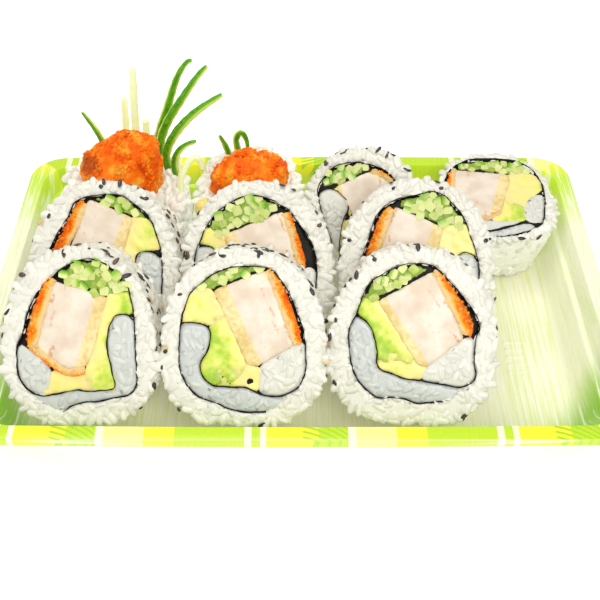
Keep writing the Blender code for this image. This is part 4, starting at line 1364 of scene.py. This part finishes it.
avocado_look, avocado_shader, place = new_look(
    "avocado_flesh", Coat_Weight=0.25, Coat_Roughness=0.25, Subsurface_Weight=0.25,
    Subsurface_Scale=0.0018, Subsurface_Radius=(0.8, 1.0, 0.3))
fine, broad = mottle(place, 500.0, 3.0), mottle(place, 170.0)
spread = carried(place, "ripe") * 0.70 + (broad - 0.5) * 1.0 + (fine - 0.5) * 0.7 + 0.26
flesh = place.node("ShaderNodeValToRGB", {"stops": [
    (0.18, (0.36, 0.56, 0.03)), (0.44, (0.60, 0.70, 0.08)), (0.70, (0.82, 0.77, 0.20)),
    (1.00, (0.91, 0.74, 0.26))]}, {0: spread})
feed(avocado_shader, Base_Color=flesh, Roughness=fine * 0.25 + 0.28,
     Normal=relief(0.45, 0.25, fine * 0.5 + broad))
for name, cut in slices.items():
    parts = []
    for number, (ripeness, loop) in enumerate(AVOCADO[name]):
        loop = spaced(softened(loop, rounds=1, reach=0.8), 0.8)
        loop = grown(loop, 1.5)
        loop = shaken(loop, 0.3, 1.6, 710 + cut.seed, 730 + cut.seed)
        points, faces = closed_block(cut, loop, inset=0.42 + 0.12 * number, gap=0.75,
                                     soften=0.9, lumps=0.38, seed=700 + number)
        beside = distance(points[:, [0, 2]], CHICKEN[name])
        tones = ripeness + 0.25 * wavy(points[:, [0, 2]], 4.0, 750 + cut.seed)
        tones = np.clip(tones + np.clip(0.55 - 0.14 * beside, -0.15, 0.55), 0.0, 1.1)
        parts.append((points, faces, tones, np.zeros(len(points))))
    points, faces, tones, _ = joined(parts)
    make_piece(name + "_avocado", cut.settle(points), faces, avocado_look, "avocado", ripe=tones)

# ------------------------------------------------------------------ end pieces
# The two ends of the roll stand on their cut faces. Their rice ring is ragged
# where the roll ran out, with single grains standing up round the filling.
ENDS = ("end_roll_left", "end_roll_right")
END_GAP = 2.4
END_MIDDLE = {"end_roll_left": (-66.0, 36.6, 25.3, 23.5),
              "end_roll_right": (-19.7, 37.0, 20.7, 22.0)}
# the rice rises by up to this much, from a height and over a height
CREST = 5.0
CREST_FROM, CREST_OVER = 22.0, 6.0
GRAIN_RESTS_AT = 1.15
# the end whose rice is heaped up on its right
HEAPED = "end_roll_right"


def merged_copy(name, new_name, shrink, cuts):
    """A copy of a plain solid with its loose triangles joined, drawn in and divided."""
    copy = bpy.data.objects.new(new_name, nodes[name].data.copy())
    bpy.context.scene.collection.objects.link(copy)
    copy.data.materials.clear()
    bpy.ops.object.select_all(action="DESELECT")
    copy.select_set(True)
    bpy.context.view_layer.objects.active = copy
    edit_all()
    bpy.ops.mesh.remove_doubles(threshold=0.02 * MM)
    bpy.ops.mesh.tris_convert_to_quads()
    if cuts:
        bpy.ops.mesh.subdivide(number_cuts=cuts, smoothness=0.6)
    bpy.ops.transform.shrink_fatten(value=-shrink * MM)
    bpy.ops.object.mode_set(mode="OBJECT")
    for attribute in list(copy.data.attributes):
        if attribute.name.startswith(("COLOR", "Color", "UV")):
            copy.data.attributes.remove(attribute)
    copy.data.shade_smooth()
    return copy


def skin_spots(name, gap, rng, keep):
    """Spots about a gap apart over a plain solid's skin, with its outward direction there."""
    data = nodes[name].data
    data.calc_loop_triangles()
    points = node_points(name)
    corners = points[np.array([tuple(face.vertices) for face in data.loop_triangles])]
    normals = np.cross(corners[:, 1] - corners[:, 0], corners[:, 2] - corners[:, 0])
    areas = np.linalg.norm(normals, axis=1) / 2.0
    normals = normals / np.maximum(areas[:, None] * 2.0, 1e-9)
    count = int(areas.sum() / gap ** 2 * 8.0)
    chosen = rng.choice(len(areas), count, p=areas / areas.sum())
    first, second = rng.random((2, count))
    flip = first + second > 1.0
    first, second = np.where(flip, 1.0 - first, first), np.where(flip, 1.0 - second, second)
    tries = (corners[chosen, 0] + first[:, None] * (corners[chosen, 1] - corners[chosen, 0])
             + second[:, None] * (corners[chosen, 2] - corners[chosen, 0]))
    outward = normals[chosen]
    wanted = keep(tries, outward)
    tries, outward = tries[wanted], outward[wanted]
    wanted = thinned(tries, gap)
    return tries[wanted], outward[wanted]


def crest_rise(name, points):
    """How far the rice stands up round the filling, most at the back."""
    across, deep, half_x, half_y = END_MIDDLE[name]
    side, back = (points[:, 0] - across) / half_x, (points[:, 1] - deep) / half_y
    ring = np.clip((np.hypot(side, back) - 0.60) / 0.15, 0.0, 1.0)
    ragged = np.array([0.75 + 0.6 * noise.noise(Vector((x * 0.16, y * 0.16, 3.0)))
                       for x, y in points[:, :2]])
    rise = np.clip(0.75 + 0.6 * back, 0.0, 1.0)
    if name == HEAPED:
        rise = rise + 0.9 * np.clip(side, 0.0, 1.0)
    high = np.clip((points[:, 2] - CREST_FROM) / CREST_OVER, 0.0, 1.0)
    return CREST * ring * ragged * rise * high


def skin_of(piece):
    """A piece's points, and the outward direction at each of them."""
    verts = piece.data.vertices
    return (np.array([vert.co[:] for vert in verts]) / MM,
            np.array([vert.normal[:] for vert in verts]))


def finish_solid(piece, points, name, look, slot, **tones):
    """Moves a piece's points, dresses it and puts it in the plain solid's place."""
    for vert, point in zip(piece.data.vertices, points):
        vert.co = Vector(point) * MM
    dress(piece, look, slot, **tones)
    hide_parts(name)


for number, name in enumerate(ENDS):
    rng = np.random.default_rng(800 + number)
    core = merged_copy(name, name + "_rice", 0.7, 2)
    points, _ = skin_of(core)
    points[:, 2] += crest_rise(name, points)
    points[:, 2] = np.maximum(points[:, 2], RESTS_AT)
    plain = np.zeros(len(points))
    finish_solid(core, points, name, rice_look, "rice", shade=plain, cool=plain)
    spots, outward = skin_spots(name, END_GAP, rng, lambda p, n: (n[:, 2] > -0.6) & (p[:, 2] > 1.5))
    spots[:, 2] += crest_rise(name, spots)
    count = len(spots)
    way = np.cross(outward, rng.normal(size=outward.shape))
    way += outward * rng.normal(0.0, 0.25, (count, 1))
    sizes = rng.uniform((0.85, 0.9, 0.9), (1.1, 1.15, 1.2), (count, 3))
    middle = spots - outward * rng.uniform(0.6, 1.25, (count, 1))
    # these grains, and the loose ones on the crest, are toned high for the rice's painted glow,
    # lifting the shade they stand in
    parts = [toned(GRAIN_POINTS, GRAIN_FACES, middle, turned(way, outward), sizes,
                   1.2 + 0.5 * rng.random(count))]
    crest = (outward[:, 2] > 0.5) & (spots[:, 2] > 26.0)
    count = crest.sum()
    loose = spots[crest] + rng.normal(0.0, 0.5, (count, 3)) + (0.0, 0.0, 0.3)
    way = rng.normal(size=loose.shape) * (1.0, 1.0, 0.8)
    sizes = rng.uniform((0.85, 0.9, 0.9), (1.05, 1.1, 1.1), (count, 3))
    parts.append(toned(GRAIN_POINTS, GRAIN_FACES, loose + (0.0, 0.0, 0.2),
                       turned(way, rng.normal(size=loose.shape)), sizes,
                       1.2 + 0.5 * rng.random(count)))
    points, faces, tones, cools = joined(parts)
    points[:, 2] = np.maximum(points[:, 2], GRAIN_RESTS_AT)
    make_piece(name + "_grains", points * MM, faces, rice_look, "rice", shade=tones, cool=cools)

# ------------------------------------------------------------------ fried ends
# The chicken sticks out of both end pieces in a dome of fried crumb, orange and
# glossy with oil, with one dark overcooked knob on the left one.
KNOB = (-79.0, 32.0, 49.0)
KNOB_REACH = 6.0
DOME_GAP = 1.15
# how far the top leans to the right, where its left flank starts, and how far that is drawn in
DOME_LEAN = {"fried_end_left": (4.0, -64.0, 3.5), "fried_end_right": (0.0, -16.0, 3.0)}


LEAN_FROM, LEAN_OVER = 40.0, 20.0
# the dome's lumps: how closely set, and how high
LUMP_SCALE, LUMP_RISE = 0.12, 1.3
# where the dome comes out of the rice, and where its crumbs start
DOME_FOOT, CRUMBS_FROM = 27.7, 30.0
# crumbs are left off where this noise is higher
BARE_ABOVE = 0.16


def leaned(name, points):
    """The dome's top moved over to one side, as it was pulled from the oil."""
    lean, flank, drawn = DOME_LEAN[name]
    high = np.clip((points[:, 2] - LEAN_FROM) / LEAN_OVER, 0.0, 1.0)
    shift = lean * high ** 1.5 + drawn * high * np.clip((flank - points[:, 0]) / 12.0, 0.0, 1.0)
    return points + np.array([1.0, 0.0, 0.0]) * shift[:, None]


def lumpy(points, scale):
    """A broken noise at each point."""
    return np.array([noise.fractal(Vector(point) * scale, 0.8, 2.0, 3) for point in points])


def knob_dark(points, most):
    """How dark each point is, by its distance from the knob."""
    away = np.linalg.norm(points - KNOB, axis=1)
    return np.clip(1.6 - 1.6 * away / KNOB_REACH, 0.0, most)


for number, name in enumerate(("fried_end_left", "fried_end_right")):
    rng = np.random.default_rng(850 + number)
    dome = merged_copy(name, name + "_dome", 0.9, 3)
    points, outward = skin_of(dome)
    bumps = lumpy(points, LUMP_SCALE)
    points = leaned(name, points + outward * (LUMP_RISE * bumps[:, None]))
    points[:, 2] = np.maximum(points[:, 2], DOME_FOOT)
    # raised lumps of the dome are painted lighter, a painted highlight
    finish_solid(dome, points, name, crumb_look, "crumb",
                 shade=np.clip(0.25 + 0.5 * bumps, -0.1, 0.5), dark=knob_dark(points, 0.85))
    spots, outward = skin_spots(name, DOME_GAP, rng,
                                lambda p, n: (n[:, 2] > -0.5) & (p[:, 2] > CRUMBS_FROM))
    lumps = lumpy(spots, LUMP_SCALE)
    middle = spots + outward * (-0.85 + LUMP_RISE * lumps)[:, None]
    bare = np.array([noise.noise(Vector(spot) * 0.13 + Vector((9.0, 2.0, 4.0))) for spot in spots])
    middle, outward, lumps = (every[bare < BARE_ABOVE] for every in (middle, outward, lumps))
    count = len(middle)
    big = rng.random(count) ** 3
    sizes = rng.uniform(0.8, 2.0, (count, 3)) * (1.0 + 0.7 * big)[:, None] * (1.0, 1.0, 0.6)
    turns = turned(np.cross(outward, rng.normal(size=outward.shape)), outward)
    # crumbs on raised lumps are painted lighter, a painted highlight
    points, faces, tones, darks = toned(
        CRUMB_POINTS, CRUMB_FACES, middle, turns, sizes,
        np.clip(rng.random(count) * 0.6 + 0.4 * lumps, -0.1, 0.55), knob_dark(middle, 0.8))
    make_piece(name + "_crumbs", leaned(name, points) * MM, faces, crumb_look, "crumb",
               shade=tones, dark=darks)

# ------------------------------------------------------------------ cucumber strips
# Long strips of cucumber stand out of the two ends and curl over: four-sided,
# thin at the tip, dark glossy peel on one side and pale flesh on the others.
# width, share of its peel, then the points it runs through
STRIPS = {
    "strip_short_green": (2.2, 0.9, [
        (-73.6, 53.0, 33.7), (-74.0, 53.4, 40.0), (-76.6, 53.8, 48.5), (-81.4, 54.0, 57.1)]),
    "strip_tall_pale": (2.9, 0.0, [
        (-63.0, 55.3, 34.2), (-62.6, 55.4, 44.0), (-61.9, 55.3, 60.0), (-60.9, 55.0, 75.2)]),
    "strip_pale": (2.6, 0.0, [
        (-67.2, 55.3, 34.2), (-66.8, 55.6, 42.0), (-66.0, 55.8, 51.0), (-65.6, 55.8, 62.0)]),
    "strip_stub": (2.6, 0.0, [
        (-59.4, 55.0, 34.1), (-59.0, 55.1, 40.0), (-58.5, 55.2, 46.0), (-58.2, 55.2, 53.0)]),
    "strip_green_left": (2.9, 1.0, [
        (-56.0, 54.4, 34.1), (-54.4, 54.6, 46.0), (-49.4, 55.6, 58.5), (-45.6, 56.5, 70.0),
        (-41.4, 56.4, 76.8), (-39.2, 56.2, 77.6)]),
    "strip_green_mid": (3.1, 1.0, [
        (-53.0, 51.4, 33.7), (-54.2, 51.2, 42.0), (-50.6, 51.8, 53.0), (-43.4, 52.4, 64.0),
        (-37.0, 52.8, 73.5), (-33.6, 53.0, 77.0)]),
    "strip_green_right": (3.1, 1.0, [
        (-50.0, 48.2, 33.2), (-51.4, 48.0, 42.0), (-46.6, 48.2, 52.0), (-38.6, 49.0, 60.6),
        (-28.4, 49.5, 67.4)]),
    "strip_green_short": (2.5, 1.0, [
        (-46.9, 44.6, 32.7), (-47.6, 44.4, 40.0), (-46.2, 44.2, 45.6), (-42.6, 44.6, 49.0),
        (-38.6, 45.0, 50.2)]),
    "strip_loop_pale": (2.4, 0.15, [
        (-44.6, 35.4, 31.4), (-45.0, 36.4, 38.0), (-42.4, 38.2, 44.0), (-39.4, 39.6, 47.6),
        (-36.6, 40.2, 44.8), (-36.2, 40.0, 40.6)]),
    "strip_curl_left": (2.2, 1.0, [
        (-26.6, 53.4, 34.1), (-27.6, 53.2, 40.0), (-29.0, 52.6, 44.6), (-30.5, 51.8, 48.2)]),
    "strip_curl_right": (2.4, 1.0, [
        (-22.4, 54.0, 34.2), (-23.8, 53.8, 40.0), (-24.6, 53.4, 45.8), (-22.4, 53.2, 49.4),
        (-20.2, 53.2, 45.6), (-20.0, 53.2, 41.0)]),
}
# corners of a strip's section, across and out from its middle, and how much peel each bears
SECTION = [(-1.0, -0.55, 0.0), (0.0, -0.62, 0.0), (1.0, -0.55, 0.0), (1.08, 0.0, 0.0),
           (1.0, 0.55, 0.0), (0.15, 0.66, 1.0), (-0.85, 0.60, 1.0), (-1.05, 0.15, 0.3)]
FACING = np.array([0.25, -0.75, 0.60])
for number, (name, (width, peeled, line)) in enumerate(STRIPS.items()):
    line = np.asarray(line, float)
    for _ in range(3):
        this, after = line[:-1], line[1:]
        corners = np.stack([0.75 * this + 0.25 * after, 0.25 * this + 0.75 * after], 1)
        line = np.vstack([line[:1], corners.reshape(-1, 3), line[-1:]])
    lengths = np.concatenate([[0.0], np.cumsum(np.linalg.norm(np.diff(line, axis=0), axis=1))])
    count = max(16, int(lengths[-1] / 0.9))
    places = np.linspace(0.0, lengths[-1], count)
    line = np.stack([np.interp(places, lengths, line[:, axis]) for axis in range(3)], 1)
    run = np.gradient(line, axis=0)
    run /= np.linalg.norm(run, axis=1)[:, None]
    out = FACING - run * (run @ FACING)[:, None]
    out /= np.linalg.norm(out, axis=1)[:, None]
    twist = 0.5 * np.sin(places / lengths[-1] * 2.2 + number)
    side = np.cross(run, out)
    side, out = (side * np.cos(twist)[:, None] + out * np.sin(twist)[:, None],
                 out * np.cos(twist)[:, None] - side * np.sin(twist)[:, None])
    share = places / lengths[-1]
    taper = 0.45 if peeled > 0.5 else 0.12
    half = width / 2.0 * (1.0 - taper * np.clip((share - 0.45) / 0.55, 0.0, 1.0) ** 1.5)
    half = half * np.where(share > 0.985, 0.8, 1.0) * (1.0 + 0.05 * np.sin(places * 1.3 + number))
    rings, peels = [], []
    for across, thick, peel in SECTION:
        rings.append(line + side * (half * across)[:, None] + out * (half * thick)[:, None])
        peels.append(np.full(count, peel * peeled))
    # pale strips are toned high enough for their painted glow
    strip = skinned(name + "_flesh", [ring * MM for ring in rings], cucumber_look,
                    "cucumber_green" if peeled > 0.5 else "cucumber_pale",
                    shade=np.full(count * len(SECTION), 1.2 if peeled > 0.5 else 1.9),
                    peel=np.concatenate(peels))
    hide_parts(name)

# ------------------------------------------------------------------ avocado lump
# A soft piece of avocado has been pushed out between the two end pieces.
lump = merged_copy("avocado_end", "avocado_lump", 0.2, 2)
points, outward = skin_of(lump)
bumps = lumpy(points, 0.5)
finish_solid(lump, points + outward * (0.35 * bumps[:, None]), "avocado_end", avocado_look,
             "avocado", ripe=np.clip(0.7 + 0.4 * bumps, 0.0, 1.0))

# ------------------------------------------------------------------ sesame
# Black, brown and a few pale sesame seeds were rolled into the outside of the
# rice, so they lie flat along its sides and are caught at the cut edges.
SEED = (3.2, 1.85, 0.95)
SEED_SPREAD = (0.85, 1.12)
SEEDS_PER_SLICE = 62
SEEDS_PER_END = 34
DARK_SHARE = 0.86
# seeds caught at the cut edges: their share, and how far in they lie
CAUGHT_SHARE = 0.13
CAUGHT_AT = 0.35
seed_look, seed_shader, place = new_look("sesame_coat", Coat_Weight=0.35, Coat_Roughness=0.22)
fine = mottle(place, 1400.0, 3.0)
coat = place.node("ShaderNodeValToRGB", {"stops": [
    (0.0, (0.012, 0.010, 0.010)), (0.45, (0.028, 0.018, 0.014)), (0.62, (0.10, 0.045, 0.025)),
    (0.75, (0.30, 0.16, 0.06)), (0.88, (0.62, 0.43, 0.20)), (1.0, (0.78, 0.62, 0.36))]},
    {0: carried(place, "shade")})
feed(seed_shader, Base_Color=(fine.above(0.62, 0.08) * 0.35).paint(coat, (0.20, 0.15, 0.11)),
     Roughness=fine * 0.3 + 0.25, Normal=relief(0.4, 0.08, fine))

SEED_POINTS, SEED_FACES = kernel(SEED)
taper = 1.0 - 0.42 * np.clip(SEED_POINTS[:, 0] / SEED[0] + 0.5, 0.0, 1.0) ** 1.5
SEED_POINTS[:, 1:] *= taper[:, None]


def seeds(middle, turns, sizes, rng):
    """Seeds at the spots, most of them dark and a few pale."""
    count = len(middle)
    shades = np.where(rng.random(count) < DARK_SHARE, rng.random(count) ** 2 * 0.62,
                      rng.uniform(0.75, 1.0, count))
    return toned(SEED_POINTS, SEED_FACES, middle, turns, sizes, shades)


parts = []
for name, cut in slices.items():
    rng = np.random.default_rng(900 + cut.seed)
    count = SEEDS_PER_SLICE // 3 if name in SIDE_PAINTED_LIGHT_FEW_SEEDS else SEEDS_PER_SLICE
    angle = rng.uniform(-math.pi, math.pi, count * 2)
    # fewer lie under the slice, where they rubbed off
    angle = angle[(np.sin(angle) > -0.6) | (rng.random(count * 2) < 0.3)][:count]
    count = len(angle)
    depth = rng.uniform(0.2, cut.depth - 0.2, count)
    caught = rng.random(count) < CAUGHT_SHARE
    edge = np.where(rng.random(count) < 0.6, CAUGHT_AT, cut.depth - CAUGHT_AT)
    depth = np.where(caught, edge, depth)
    reach = np.interp(angle, cut.steps, cut.reaches) + rng.uniform(-0.35, 0.10, count)
    reach = np.where(caught, reach - rng.uniform(0.0, 1.6, count), reach)
    outward = np.stack([np.cos(angle), np.zeros(count), np.sin(angle)], 1)
    outward = np.where(caught[:, None], outward * 0.5 + np.array([0.0, 1.0, 0.0])
                       * np.where(depth < 5.0, -1.0, 1.0)[:, None], outward)
    outward /= np.linalg.norm(outward, axis=1)[:, None]
    middle = np.stack([reach * np.cos(angle), depth, reach * np.sin(angle)], 1)
    way = np.cross(outward, rng.normal(size=(count, 3)))
    sizes = rng.uniform(*SEED_SPREAD, (count, 3))
    points, faces, *tones = seeds(middle, turned(way, outward), sizes, rng)
    parts.append((cut.settle(points) / MM, faces, *tones))
for number, name in enumerate(ENDS):
    rng = np.random.default_rng(950 + number)
    spots, outward = skin_spots(name, 5.0, rng, lambda p, n: (n[:, 2] > -0.3) & (p[:, 2] > 4.0))
    chosen = rng.permutation(len(spots))[:SEEDS_PER_END]
    spots, outward = spots[chosen], outward[chosen]
    turns = turned(np.cross(outward, rng.normal(size=outward.shape)), outward)
    sizes = rng.uniform(*SEED_SPREAD, (len(spots), 3))
    parts.append(seeds(spots + outward * 0.05, turns, sizes, rng))
points, faces, tones, _ = joined(parts)
make_piece("sesame_seeds", points * MM, faces, seed_look, "sesame_dark", shade=tones)
